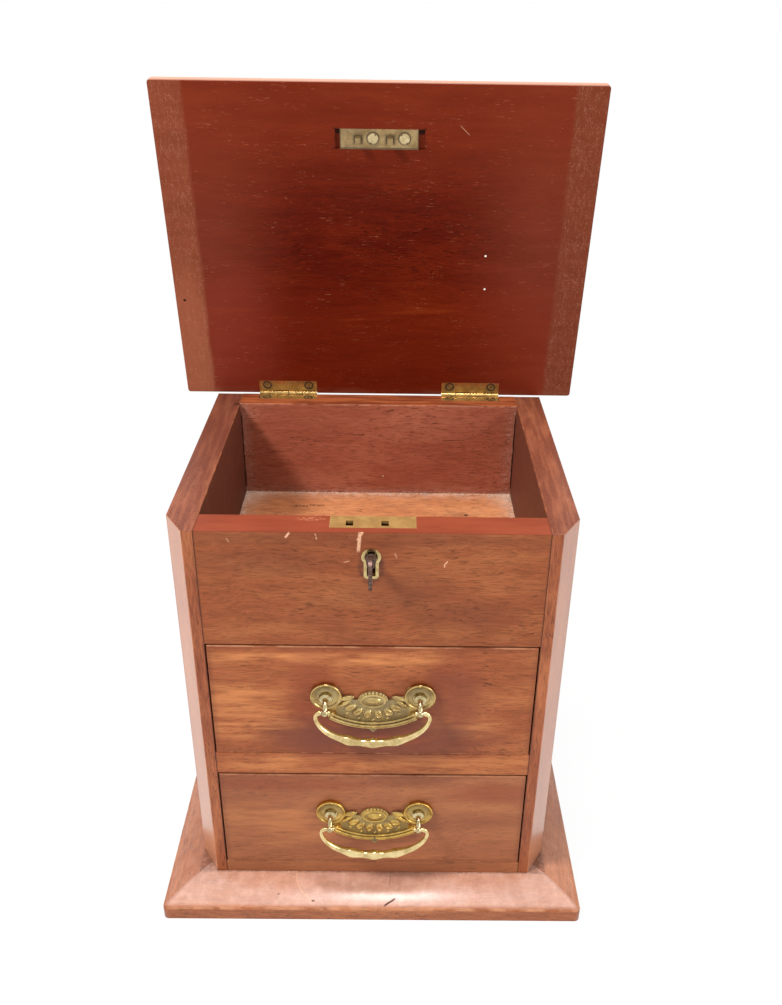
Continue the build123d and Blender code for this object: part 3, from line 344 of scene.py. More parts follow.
joint_dirt = (abs(side.x) - inner_x).ease(0.8, 0.1) * (side.y - front_y).ease(1.0, 0.3)
grain = side.mix(joint_dirt * 0.75, grain, grime)
foot_dirt = side.z.ease(foot_z + 2.2, foot_z + 0.3) * side.noise(3, 3).ease(0.35, 0.65)
grain = side.mix(foot_dirt * 0.8, grain, grime)
polish = (on_chamfer * 0.75 + 0.05) * (1 - inner_face)
gloss = fibre * 0.10 + 0.34 + inner_face * 0.25 - on_chamfer * 0.12
side_wood = side.close(grain, gloss, relief, 0.03, coat_weight=polish)
for name in ("left_side", "right_side"):
    eased_board(name, side_wood)

# The front: the fixed panel of the compartment, the rail between the drawers, the bottom
# board and the two drawer fronts, all mahogany with its grain running across. The polish
# is darker where hands never rubbed it. Chips show the bare wood. Shade is painted round
# the handles and along the drawer fronts' borders, and a highlight, broken by wear, along
# their top arrises.
chip_colour = (0.68, 0.37, 0.22)
dark_brown_and_border_shade = (0.13, 0.034, 0.017)
keyhole = (-0.8, 285.5)
rim_rub = (-38, -80.5)
dusky_spots = (
    (14, 268, 30, 13, 0.8, 1),
    (-70, 288, 40, 9, 0.8, 1),
    (60, 250, 34, 9, 0.9, 1),
    (-20, 305, 110, 5, 0.8, 1),
)
warm_spots = (
    (-76, 158, 30, 10, 0.9, 1),
    (60, 160, 26, 10, 0.9, 1),
    (-30, 216, 76, 5, 0.9, 1),
    (-84, 178, 30, 24, 0.9, 0.7),
    (-60, 70, 52, 20, 0.9, 0.6),
    (0, 127, 110, 8, 0.9, 0.7),
)
red_spots = (
    (-38, 176, 16, 60, 0.8, 1),
    (52, 190, 17, 34, 0.8, 1),
    (-60, 108, 66, 6, 0.9, 1),
    (80, 100, 30, 9, 0.9, 1),
    (6, 148, 100, 5, 0.8, 0.8),
)
shade_by_handles = (
    (4, 152, 72, 20, 0.8, 0.85),
    (50, 180, 22, 26, 0.9, 0.45),
    (18, 112, 44, 7, 0.9, 0.35),
    (30, 72, 70, 12, 0.9, 0.35),
)
chips = (
    ((-7.2, 311.0), (-8.6, 295.0), 1.0, 1),
    ((-5.6, 310.5), (-9.2, 303.5), 0.8, 1),
    ((-48.6, 309.5), (-51.6, 305.2), 0.65, 1),
    ((-33.8, 309.0), (-32.8, 304.2), 0.4, 0.6),
    ((42.9, 285.6), (43.2, 288.4), 0.4, 1),
    ((43.2, 288.0), (45.0, 290.4), 0.4, 1),
    ((-17.6, 288.6), (-13.4, 289.9), 0.35, 0.7),
    ((13.0, 296.0), (14.6, 292.0), 0.5, 0.4),
    ((-86.0, 305.0), (-84.5, 302.0), 0.4, 0.5),
)
drawer_nicks = (
    ((70.5, 197.8), (77.5, 196.2), 0.6, 1),
    ((70.0, 195.6), (74.0, 195.2), 0.4, 1),
)
upper_low, upper_high = box_mm("upper_drawer_front")
lower_low, lower_high = box_mm("lower_drawer_front")

panel = Finish("front_mahogany", specular_ior_level=0.15)
front_tones = ((0.255, 0.066, 0.021), red_brown, (0.43, 0.145, 0.048))
grain, relief, fibre = mahogany(panel, front_tones, "x", 7.7)
high_front = panel.z.ease(upper_high.z + 0.4, upper_high.z + 1.0)
smoky = panel.noise(14, 4, 0.65, (3.5, 1, 1), (6, 6, 6)).ease(0.45, 0.7)
dusk = panel.spots(dusky_spots) * 0.32 + smoky * 0.20
grain = panel.mix(dusk, grain, (0.15, 0.042, 0.019))
grain = panel.mix(high_front * 0.12, grain, (0.08, 0.015, 0.003))
low_front = panel.z.ease(lower_high.z + 0.6, lower_high.z)
grain = panel.mix(low_front * 0.3, grain, (0.33, 0.15, 0.078))
streaky = panel.noise(5, 3, 0.6, (8, 1, 1), (9, 2, 9)).ease(0.35, 0.65)
grain = panel.mix(panel.spots(warm_spots) * streaky * 0.75, grain, (0.60, 0.225, 0.075))
blush = panel.spots(red_spots) * (1 - high_front)
grain = panel.mix(blush * 0.4, grain, (0.20, 0.035, 0.016))
# Painted shade: the drawer fronts are darker round and below the handles.
uneven = panel.noise(12, 3, 0.6, (2.5, 1, 1)).ease(0.2, 0.5)
grain = panel.mix(panel.spots(shade_by_handles) * uneven, grain, (0.15, 0.042, 0.024))

on_rim = top_of_rim(panel)
rim_red = panel.mix(panel.noise(9, 3, 0.6, (5, 1, 1)), (0.13, 0.020, 0.010), (0.28, 0.060, 0.027))
grain = panel.mix(on_rim * 0.9, grain, rim_red)
rim_worn = panel.spot(*rim_rub, 9, 2.2, 0.6, panel.y) * panel.noise(1.6, 4).ease(0.4, 0.65)
grain = panel.mix(on_rim * rim_worn * 0.4, grain, (0.60, 0.25, 0.13))
front_face = (panel.y - front_y).ease(1.0, 0.5)
chip = panel.strokes(chips) * panel.noise(1.0, 2).ease(0.28, 0.45) * front_face
grain = panel.mix(chip, grain, chip_colour)

# Each drawer front's top arris is painted lighter: partly wear, partly a painted highlight.
for high, share in ((upper_high, 0.8), (lower_high, 0.55)):
    worn_top_highlight = abs(panel.z - (high.z - 0.4)).ease(0.8, 0.2)
    along_top = abs(panel.x).ease(high.x, high.x - 1)
    worn = panel.noise(11, 4, 0.7, (2, 1, 1)).ease(0.38, 0.62)
    grain = panel.mix(worn_top_highlight * along_top * worn * share, grain, (0.66, 0.31, 0.16))
for low, high in ((upper_low, upper_high), (lower_low, lower_high)):
    beyond_top = abs(panel.z - (low.z + high.z) / 2) - (high.z - low.z) / 2
    to_edge = (abs(panel.x) - high.x).most(beyond_top)
    on_front = to_edge.ease(0.2, 0.0)
    # Painted shade: a darker band runs along each drawer front's borders, beside the gaps.
    grain = panel.mix(to_edge.ease(-4.5, -0.4) * on_front * 0.35, grain, dark_brown_and_border_shade)
    foot_line = (panel.z - low.z).ease(0.9, 0.3) * on_front
    worn = panel.noise(7, 4, 0.7).ease(0.45, 0.6)
    grain = panel.mix(foot_line * worn * 0.6, grain, (0.60, 0.26, 0.13))
lower_left = (panel.z - lower_high.z).ease(1, -4) * panel.x.ease(10, -90)
grain = panel.mix(lower_left * 0.2, grain, dark_brown_and_border_shade)
grain = panel.mix(panel.strokes(drawer_nicks) * 0.7, grain, grime)

lock_soil = panel.spot(*keyhole, 8, 12.5, 0.35) * panel.noise(3, 3).ease(0.25, 0.6)
grain = panel.mix(lock_soil * 0.7, grain, (0.075, 0.026, 0.016))
board_ends = (abs(panel.x) - inner_x).ease(-1.0, -0.1)
grain = panel.mix(board_ends * 0.4, grain, grime)
behind = (panel.y - front_y).ease(1.0, 3.0) * (1 - on_rim)
bare = panel.mix(panel.noise(14, 3), (0.12, 0.040, 0.022), (0.20, 0.070, 0.040))
grain = panel.mix(behind, grain, bare)
gloss = fibre * 0.16 + 0.36 + chip * 0.3 + behind * 0.15
front_wood = panel.close(grain, gloss, relief - chip * 1.2, 0.04)
for name in (
    "front_panel",
    "drawer_rail",
    "bottom_board",
    "upper_drawer_front",
    "lower_drawer_front",
):
    eased_board(name, front_wood)

# The back board: the same wood, stained but never polished inside the compartment. Dust
# clings to it, and it has shrunk from the sides, so a dark crack shows at each end.
dust_brown = (0.46, 0.33, 0.27)
crack_black = (0.008, 0.005, 0.004)
speck_place = (3.6, 248.5)


def dress(material, *names):
    """Gives a material to CAD nodes, in place of any they have."""
    for name in names:
        mesh = nodes[name].data
        mesh.materials.clear()
        mesh.materials.append(material)


lining = Finish("lining_mahogany", specular_ior_level=0.15)
lining_tones = ((0.30, 0.076, 0.040), (0.37, 0.102, 0.055), (0.44, 0.145, 0.083))
grain, relief, fibre = mahogany(lining, lining_tones, "x", 12.4)
on_rim = top_of_rim(lining)
rim_tone = lining.noise(5, 4, 0.6, (9, 1, 1), (4, 2, 4)).ease(0.35, 0.65)
rim_tone = lining.mix(rim_tone, (0.14, 0.028, 0.011), (0.33, 0.085, 0.027))
grain = lining.mix(on_rim, grain, rim_tone)
from_inner_face = lining.y - back_inner_y
rim_line = from_inner_face.ease(1.3, 0.4) * lining.z.ease(rim_z - 1.2, rim_z - 0.3)
worn = lining.noise(6, 3).ease(0.35, 0.6)
grain = lining.mix(rim_line * worn * 0.4, grain, (0.62, 0.32, 0.22))

inside = lining.z.ease(floor_z - 1, floor_z) * from_inner_face.ease(0.6, 0.2) * (1 - on_rim)
near_end = (abs(lining.x) - inner_x).ease(-14, 0)
end_film = near_end * near_end * lining.noise(12, 4, 0.7, shift=(7, 1, 2)).ease(0.3, 0.7)
low_film = lining.z.ease(floor_z + 9, floor_z) * lining.noise(7, 4, 0.7).ease(0.35, 0.7)
film = end_film.most(low_film * 0.7)
end_fluff = near_end * lining.noise(1.6, 4, 0.75, (1, 1, 1.6)).ease(0.54, 0.64)
low_fluff = lining.z.ease(floor_z + 2.4, floor_z) * lining.noise(1.8, 4, 0.7).ease(0.46, 0.58)
fluff = end_fluff.most(low_fluff)
grain = lining.mix((film * 0.2).most(fluff * 0.7) * inside, grain, dust_brown)
ragged = lining.noise(5, 3, 0.6, (1, 1, 2.5), (2, 9, 2)) * 1.6
crack = (abs(lining.x) - inner_x + ragged).ease(-0.4, 0.1) * inside
crack = crack * lining.z.ease(floor_z + 3, floor_z + 6) * lining.z.ease(rim_z - 4, rim_z - 12)
grain = lining.mix(crack * 0.95, grain, crack_black)
speck = lining.spot(*speck_place, 0.45, 0.7) * 0.8
lint_specks = lining.noise(1.0, 2, 0.5, (1, 1, 1), (5, 9, 5)).ease(0.76, 0.80) * 0.5
grain = lining.mix(speck.most(lint_specks) * inside, grain, (0.70, 0.52, 0.42))
dress(lining.close(grain, fibre * 0.1 + 0.5, relief, 0.04), "back_board")

# The compartment's floor: a thin board housed in the sides, front and back. It is worn
# pale, marked with ink, and grey with dust round its edges.
front_inner_y = box_mm("front_panel")[1].y
ink_strokes = (
    ((-68, 66.0), (-52, 66.8), 1.3, 1),
    ((-56, 68.2), (-40, 67.2), 1.0, 1),
)
ink_blot = (67.8, 54.8)

tray = Finish("worn_floor", specular_ior_level=0.15)
tray_tones = ((0.36, 0.125, 0.052), (0.48, 0.180, 0.071), (0.58, 0.245, 0.105))
grain, relief, fibre = mahogany(tray, tray_tones, "x", 21.0)
middle_y = (back_inner_y + front_inner_y) / 2
beyond_end = abs(tray.y - middle_y) - (back_inner_y - middle_y)
edge = (abs(tray.x) - inner_x).most(beyond_end)
corner = (abs(tray.x) - inner_x).ease(-26, -2) * (tray.y - back_inner_y).ease(-30, -4)
film = edge.ease(-16, -1) * tray.noise(6, 4, 0.65).ease(0.3, 0.65)
grain = tray.mix(film * 0.25 + corner * 0.3, grain, (0.56, 0.45, 0.37))
fluff = edge.ease(-7, -1) * tray.noise(1.7, 4, 0.75).ease(0.5, 0.6)
grain = tray.mix(fluff * 0.45, grain, (0.70, 0.60, 0.52))
darkening = tray.noise(13, 4, 0.65, (2, 1, 1)).ease(0.52, 0.70)
grain = tray.mix(darkening * 0.4, grain, (0.19, 0.085, 0.045))
ink = tray.strokes(ink_strokes, tray.y) * tray.noise(1.8, 3).ease(0.4, 0.55)
ink = ink.most(tray.spot(*ink_blot, 1.6, 1.6, 0.3, tray.y))
grain = tray.mix(ink * 0.85, grain, (0.05, 0.022, 0.014))
grain = tray.mix(edge.ease(-0.7, -0.1) * 0.8, grain, (0.02, 0.010, 0.008))
dress(tray.close(grain, fibre * 0.1 + 0.6, relief, 0.04), "compartment_floor")

# Dust: crumbs and lint that gathered in the compartment where the floor meets the back
# and the sides. They are scattered over narrow strips of the floor and lie loose on it.
strip_width = 5.0
strip_inset = 0.8
strip_lift = 0.15
full_turn = 6.28
lint = Finish("dust_lint", specular_ior_level=0.05)
shade = lint.noise(2.5, 3, 0.6)
lint_colour = lint.mix(shade.ease(0.35, 0.65), (0.30, 0.17, 0.11), (0.66, 0.55, 0.46))
lint.close(lint_colour, shade * 0.1 + 0.85)
dust_inputs = (
    ("Per Square Metre", "Float", 190000.0),
    ("Crumb Size", "Float", 0.0004),
    ("Seed", "Int", 7),
    ("Material", "Material", lint.material),
)

strip_faces = []
strip_places = []
for x_low, x_high, y_low, y_high in (
    (-inner_x, inner_x, back_inner_y - strip_width, back_inner_y),
    (-inner_x, strip_width - inner_x, front_inner_y, back_inner_y - strip_width),
    (inner_x - strip_width, inner_x, front_inner_y, back_inner_y - strip_width),
):
    first = len(strip_places)
    for x, y in ((x_low, y_low), (x_high, y_low), (x_high, y_high), (x_low, y_high)):
        x = max(strip_inset - inner_x, min(inner_x - strip_inset, x))
        y = max(front_inner_y + strip_inset, min(back_inner_y - strip_inset, y))
        strip_places.append((x / MM, y / MM, (floor_z + strip_lift) / MM))
    strip_faces.append(range(first, first + 4))
mesh = bpy.data.meshes.new("dust_strips")
mesh.from_pydata(strip_places, [], strip_faces)
dust = bpy.data.objects.new("compartment_dust", mesh)
bpy.context.scene.collection.objects.link(dust)

scatter = Tree(bpy.data.node_groups.new("scatter_dust", "GeometryNodeTree"))
group = scatter.tree.interface
group.new_socket("Geometry", in_out="INPUT", socket_type="NodeSocketGeometry")
identifiers = {}
for title, kind, value in dust_inputs:
    made = group.new_socket(title, in_out="INPUT", socket_type="NodeSocket" + kind)
    identifiers[title] = made.identifier
group.new_socket("Geometry", in_out="OUTPUT", socket_type="NodeSocketGeometry")
strips = scatter.node("NodeGroupInput", output="Geometry")
density, size, seed, stuff = (
    scatter.node("NodeGroupInput", output=title) for title, kind, value in dust_inputs
)
points = scatter.node(
    "GeometryNodeDistributePointsOnFaces",
    {},
    {"Mesh": strips, "Density": density, "Seed": seed},
    "Points",
)
crumb = scatter.node("GeometryNodeMeshIcoSphere", {}, {"Radius": size, "Subdivisions": 1}, "Mesh")
three_numbers = {"data_type": "FLOAT_VECTOR"}
turn = scatter.node("FunctionNodeRandomValue", three_numbers, {1: (full_turn,) * 3, "Seed": seed})
swell = scatter.node(
    "FunctionNodeRandomValue",
    three_numbers,
    {0: (0.4, 0.3, 0.3), 1: (2.4, 1.0, 0.8), "Seed": seed},
)
placed = scatter.node(
    "GeometryNodeInstanceOnPoints",
    {},
    {"Points": points, "Instance": crumb, "Rotation": turn, "Scale": swell},
    "Instances",
)
real = scatter.node("GeometryNodeRealizeInstances", {}, {"Geometry": placed})
coated = scatter.node("GeometryNodeSetMaterial", {}, {"Geometry": real, "Material": stuff})
result = scatter.tree.nodes.new("NodeGroupOutput")
scatter.tree.links.new(coated.socket, result.inputs[0])
grow = dust.modifiers.new("scatter", "NODES")
grow.node_group = scatter.tree
for title, kind, value in dust_inputs:
    grow[identifiers[title]] = value
graph = bpy.context.evaluated_depsgraph_get()
dust.data = bpy.data.meshes.new_from_object(dust.evaluated_get(graph))
dust.modifiers.clear()
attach(dust, nodes["compartment_floor"]["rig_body"])

# The runners, the drawer stops, the drawers' inner boards and the plinth's back rail are
# of a plain pale wood that was planed and left bare.
plain = Finish("plain_drawer_wood", specular_ior_level=0.2)
plain_tones = ((0.30, 0.15, 0.07), (0.42, 0.23, 0.12), (0.52, 0.31, 0.17))
grain, relief, fibre = mahogany(plain, plain_tones, "y", 30.0)
handled = plain.noise(40, 4, 0.6).ease(0.45, 0.75)
grain = plain.mix(handled * 0.35, grain, (0.26, 0.14, 0.075))
bare_wood = plain.close(grain, fibre * 0.1 + 0.55, relief, 0.05)
dress(bare_wood, "left_runner", "right_runner", "drawer_stops", "plinth_back")
drawer_boards = ("left_side", "right_side", "back", "bottom")
for drawer in ("upper", "lower"):
    dress(bare_wood, *(f"{drawer}_drawer_{board}" for board in drawer_boards))

# The plinth: one broad moulding, mitred round the front corners and glued to the foot of
# the case. It is mahogany, its slope rubbed, dented and painted with a paler sheen, its
# lower edge nicked.
edge_z = 10.6
plinth_arris = 0.00025
plinth_y = box_mm("plinth_front")[0].y
plinth_x = box_mm("plinth_front")[1].x
plinth_tones = ((0.26, 0.072, 0.024), (0.35, 0.108, 0.038), (0.45, 0.165, 0.066))
plinth_cuts = (
    ((7.6, -118.2), (17.5, -113.2), 0.55, 1),
    ((13, -98), (12.4, -106), 0.3, 0.6),
)
plinth_pits = (
    (-42, -115.2, 1.3, 0.6, 0.4, 0.8),
    (-67, -111.5, 0.8, 0.5, 0.4, 0.7),
)
curl_middle = (-38, -98)
curl_radius = 17


def plinth_finish(name, along, seed, shine):
    """Finish of one length of the plinth, its grain along that length, and how it shines, in coat
    and painted sheen.
    """
    skirt = Finish(name, specular_ior_level=0.25, coat_roughness=0.28, coat_ior=1.75)
    grain, relief, fibre = mahogany(skirt, plinth_tones, along, seed)
    slope = skirt.z.ease(edge_z, edge_z + 2.5)
    # Painted sheen: the slope is painted paler and pinker for its polish's reflection, broken in
    # patches by bloom of the polish.
    bloom_and_sheen = skirt.noise(9, 5, 0.7, shift=(seed, 2, 2)).ease(0.34, 0.76) * slope
    grain = skirt.mix((bloom_and_sheen * 0.35 + slope * 0.38) * shine, grain, (0.66, 0.40, 0.31))
    lower_line = abs(skirt.z - edge_z)
    chipped = skirt.noise(2.6, 3, 0.6, shift=(9, 9, 9)).ease(0.66, 0.72)
    cut = skirt.strokes(plinth_cuts, skirt.y).most(skirt.spots(plinth_pits, skirt.y))
    cut = cut.most(lower_line.ease(1.8, 0.4) * chipped)
    grain = skirt.mix(cut * 0.9, grain, (0.04, 0.015, 0.010))
    rubbed = lower_line.ease(1.4, 0.3) * skirt.noise(12, 3).ease(0.35, 0.6)
    grain = skirt.mix(rubbed * 0.45, grain, (0.62, 0.31, 0.17))

    top = skirt.z.ease(foot_z - 1.2, foot_z - 0.5)
    near_case = (abs(skirt.x) - side_x).ease(1.6, 0.3) * (skirt.y - front_y).ease(-1.6, -0.3)
    darkening = top * near_case * skirt.noise(1.2, 3).ease(0.3, 0.6)
    grain = skirt.mix(darkening * 0.5, grain, grime)
    mitre = abs((abs(skirt.x) - plinth_x) + (skirt.y - plinth_y)).ease(0.5, 0.15)
    grain = skirt.mix(mitre * skirt.y.ease(front_y + 2, front_y) * 0.7, grain, deep_red)
    from_middle = distance(skirt.x, skirt.y, curl_middle)
    left_part = skirt.x.ease(curl_middle[0], curl_middle[0] - 10)
    curl = abs(from_middle - curl_radius).ease(0.55, 0.1) * slope * left_part
    grain = skirt.mix(curl * 0.5, grain, (0.72, 0.40, 0.22))

    dents = skirt.noise(8, 3, 0.6, shift=(3, 3, 3)) * 0.6 + skirt.noise(2.4, 3, 0.6) * 0.3
    dulled = skirt.noise(9, 3, 0.6, shift=(3, 3, 3)).ease(0.35, 0.7)
    gloss = dulled * 0.14 + 0.24 + cut * 0.3
    surface = relief * 0.12 + dents - cut * 0.4
    return skirt.close(grain, gloss, surface, 0.12, coat_weight=slope * shine * (1 - cut))


plinth_front_wood = plinth_finish("plinth_front_mahogany", "x", 41.0, shine=1.0)
plinth_side_wood = plinth_finish("plinth_side_mahogany", "y", 44.0, shine=0.35)
eased_board("plinth_front", plinth_front_wood, plinth_arris)
for name in ("plinth_left", "plinth_right"):
    eased_board(name, plinth_side_wood, plinth_arris)

# The lid: one flat board of dark mahogany on two butt hinges. Its underside kept its red
# polish where it covered the case and faded on the overhang. Open pores hold pale dust.
lid_hinge = next(joint for joint in frame["joints"] if joint["name"] == "lid_hinge")
pin = Vector(lid_hinge["pos_m"]) * MM
lean = radians(82.1)
link_half = 26.0
link_setback = 5.4
link_up = pin.y - box_mm("lock_plate")[0].y - link_setback
lid_tones = ((0.066, 0.0036, 0.0008), (0.106, 0.0068, 0.0012), (0.148, 0.0135, 0.0022))
hot_red = (0.26, 0.040, 0.004)
recess_shade_black = (0.015, 0.006, 0.005)
orange_streaks = (
    (-10, 68, 120, 9, 0.9, 1),
    (-30, 92, 90, 8, 0.9, 0.5),
)
red_edge_patch = (-103, 40, 26, 60, 0.9)
pale_edge_patch = (-140, 40, 14, 60, 0.9)
pale_dots = ((75.6, 114.8), (76.5, 89.4))
long_scratch = ((52.9, 205.3), (60.2, 198.3))
left_edge_hole = (-142.3, 77.7)
lid_top_highlight_z = (538.2, 539.2)


def lid_places(finish):
    """Height up the lid from its hinge, and distance out of its underside."""
    up = (finish.z - pin.z) * sin(lean) - (finish.y - pin.y) * cos(lean)
    out = (finish.y - pin.y) * -sin(lean) - (finish.z - pin.z) * cos(lean)
    return up, out


lid = Finish("lid_mahogany", specular_ior_level=0.05)
lid_up, lid_out = lid_places(lid)
flat = lid.node("ShaderNodeCombineXYZ", {}, {0: lid.x, 1: lid_up, 2: lid_out})
grain, relief, fibre = mahogany(lid, lid_tones, "x", 50.0, flat)
streaks = lid.noise(7, 3, 0.55, (12, 1, 1), (2, 4, 0), flat).ease(0.50, 0.70)
grain = lid.mix(lid.spots(orange_streaks, lid_up) * streaks * 0.5, grain, hot_red)
smoke = lid.noise(12, 4, 0.6, (4, 1, 1), place=flat)
smoke = lid.mix(smoke, (0.14, 0.022, 0.009), (0.23, 0.048, 0.024))
grain = lid.mix(abs(lid.x + 4).ease(45, 118) * 0.6, grain, smoke)
lower_red = lid.noise(6, 3, 0.6, (9, 1, 1), (8, 2, 5), flat)
lower_red = lid.mix(lower_red, (0.15, 0.013, 0.004), (0.24, 0.027, 0.007))
grain = lid.mix(lid_up.ease(120, 50) * 0.45, grain, lower_red)
umber = lid.noise(9, 4, 0.6, (6, 1, 1), place=flat)
umber = lid.mix(umber, (0.118, 0.0125, 0.004), (0.215, 0.031, 0.009))
grain = lid.mix(lid_up.ease(120, 226) * 0.75, grain, umber)

wander = lid.noise(30, 3, 0.6, place=flat) * 10 - 5
outer = (abs(lid.x) - side_x + wander * 0.35).ease(0.5, 4.5)
faded = lid.noise(9, 4, 0.65, (4, 1, 1), place=flat)
faded = lid.mix(faded, (0.14, 0.030, 0.012), (0.26, 0.068, 0.033))
faded = lid.mix(lid.x.ease(0, 10) * 0.35, faded, (0.09, 0.014, 0.004))
grain = lid.mix(outer * 0.85, grain, faded)
blush = lid.spot(*red_edge_patch, lid_up) * (1 - outer)
grain = lid.mix(blush * 0.15, grain, (0.26, 0.040, 0.030))
paler = lid.spot(*pale_edge_patch, lid_up) * outer
grain = lid.mix(paler * 0.5, grain, (0.34, 0.105, 0.052))

flecks = lid.noise(0.6, 2, 0.6, (9, 1, 1), (7, 7, 7), flat).ease(0.64, 0.72)
where = lid.noise(22, 3, shift=(1, 5, 9), place=flat).ease(0.40, 0.62)
grain = lid.mix(flecks * where * 0.45, grain, (0.42, 0.15, 0.08))
hair = lid.noise(6, 4, 0.7, (0.6, 2.6, 1), (3, 1, 4), flat)
hair = abs(hair - 0.5).ease(0.006, 0.0) * outer * 0.4
hair = hair.most(lid.stroke(*long_scratch, 0.3, lid_up) * 0.35)
grain = lid.mix(hair, grain, (0.66, 0.36, 0.24))
underside = lid_out.ease(-1.0, -0.5)
for place in pale_dots:
    dot = lid.spot(*place, 0.75, 0.75, 0.35, lid_up)
    grain = lid.mix(dot * underside, grain, (0.90, 0.82, 0.70))
hole = lid.spot(*left_edge_hole, 1.1, 0.9, 0.4, lid_up)
beyond_link = abs(lid.x) - link_half
chipped = (beyond_link - 4.6).ease(1.6, 0.2) * abs(lid_up - link_up).ease(7.6, 6.9)
chipped = chipped * beyond_link.ease(-0.5, 0.2) * lid.noise(2, 3).ease(0.45, 0.6)
grain = lid.mix(hole.most(chipped * 0.5) * underside, grain, (0.018, 0.007, 0.005))
hinge_soil = lid.noise(9, 4, 0.6, (3, 1, 1), place=flat).ease(0.35, 0.7) * lid_up.ease(7, 0)
grain = lid.mix(hinge_soil * 0.5, grain, (0.20, 0.075, 0.040))
# Painted shade: the walls of the recess in the lid's underside near its far edge are painted
# near-black.
painted_recess_mask = lid_out.ease(-0.5, -1.0) * lid_out.ease(-4.0, -3.0) * lid_up.ease(198, 199)
grain = lid.mix(painted_recess_mask * 0.85, grain, recess_shade_black)

show = lid.noise(16, 4, 0.6, (6, 1, 1), place=flat)
show = lid.mix(show, (0.18, 0.042, 0.015), (0.30, 0.085, 0.030))
grain = lid.mix(lid_out.ease(-6.5, -8.5), grain, show)
# Painted highlight: a pale line along the lid's top edge, where its arris catches the light.
grain = lid.mix(lid.z.ease(*lid_top_highlight_z) * 0.5, grain, (0.74, 0.42, 0.30))
gloss = fibre * 0.16 + 0.36 + outer * 0.1
dress(lid.close(grain, gloss, relief, 0.03), "lid")

# The hinges: two brass butts let into the rim and the lid, their screws slotted brass.
# The barrels are rubbed bright, and the leaves are brown with old polish.
barrel_radius = 1.9
screw_inset = 7.0
screw_spread = 32.0
middle_knuckle = 11.1
hinge_low, hinge_high = box_mm("left_hinge_case_leaf")
hinge_middle = (hinge_low.x + hinge_high.x) / -2
hinge_tones = ((0.70, 0.46, 0.18), (0.48, 0.29, 0.10), (0.045, 0.022, 0.011))
screw_tones = ((0.60, 0.43, 0.20), (0.34, 0.23, 0.10), (0.06, 0.035, 0.02))


def brass(name, tones, roughness, mask=None, patch=5.0, seed=0.0, bare=1.0):
    """Worn brass: bright metal, dull patches of a size, and grime where a mask says; some masks
    also carry painted shade.
    Bare is how far the metal is free of the dull skin that old brass grows."""
    bright, dull, grime_and_shade_tone = tones
    metal = Finish(name, metallic=1.0)
    patches = metal.noise(patch, 4, 0.65, shift=(seed + 2, 6, 4))
    base = metal.mix(patches.ease(0.36, 0.66), bright, dull)
    darkening = metal.noise(1.1, 3, 0.6, shift=(seed, 1, 3)).ease(0.58, 0.8) * 0.3
    if mask is not None:
        darkening = darkening.most(mask(metal))
    # Grime darkens the metal here, and for some masks painted shade as well.
    base = metal.mix(darkening, base, grime_and_shade_tone)
    scuffs = metal.noise(0.9, 3, 0.6, (4, 1, 1), (seed, 2, 9))
    gloss = patches * 0.18 + scuffs * 0.08 + darkening * 0.3 + (roughness - 0.13)
    return metal.close(base, gloss, scuffs * 0.5 - darkening, 0.004, metallic=bare - darkening * 0.6)


def leaf_grime(metal):
    """Grime on the leaves, thickest round the screws, with the barrel left bright."""
    from_pin = distance(metal.y, metal.z, pin.yz)
    off_barrel = from_pin.ease(barrel_radius, barrel_radius + 0.7)
    from_middle = abs(abs(metal.x) - hinge_middle)
    from_screw = abs(from_middle - screw_spread / 2)
    around = ((from_pin - screw_inset) ** 2.0 + from_screw * from_screw) ** 0.5
    ring = around.ease(4.1, 3.2).most(from_screw.ease(7, 3) * 0.2)
    film = metal.noise(4, 4, 0.65, shift=(4, 4, 4)).ease(0.35, 0.75) * 0.35 + 0.12
    gaps = abs(from_middle - middle_knuckle).least(from_middle).ease(0.35, 0.1)
    return (ring.most(film) * off_barrel).most(gaps * (1 - off_barrel))


def head_grime(metal):
    """Dirt that fills the screw slots and dulls the heads in patches."""
    return metal.noise(1.4, 3, 0.6, shift=(6, 6, 2)).ease(0.42, 0.7) * 0.65


hinge_brass = brass("hinge_brass", hinge_tones, 0.22, leaf_grime, patch=6)
for name in ("left", "right"):
    dress(hinge_brass, *(f"{name}_hinge_{part}" for part in ("case_leaf", "lid_leaf", "pin")))
screw_brass = brass("screw_brass", screw_tones, 0.28, head_grime, patch=2)
dress(screw_brass, "case_hinge_screws", "lid_hinge_screws", "lock_screws")

# The lock and its catch: a brass box lock let into the front panel, and the link plate
# screwed in the lid, with two staples for the bolt. A thin ring lines the keyhole.
staple_xs = (-14.0, 7.2)
link_screw_xs = (-4.2, 16.8)
dome_radius = 3.9
link_half_width = 6.6
lock_tones = ((0.50, 0.30, 0.10), (0.38, 0.21, 0.07), (0.16, 0.09, 0.04))
link_tones = ((0.46, 0.32, 0.15), (0.32, 0.21, 0.09), (0.07, 0.045, 0.025))
dome_tones = ((0.74, 0.60, 0.34), (0.55, 0.42, 0.21), (0.06, 0.04, 0.022))
ring_tones = ((0.70, 0.53, 0.25), (0.46, 0.33, 0.14), (0.10, 0.065, 0.035))


def lock_grime(metal):
    """Old polish left in streaks on the selvedge and in its corners."""
    film = metal.noise(5, 4, 0.65, (2.5, 1, 1), (1, 7, 4)).ease(0.50, 0.75) * 0.2
    at_ends = (abs(metal.x) - link_half).ease(-1.0, 0.0) * 0.5
    return film.most(at_ends)


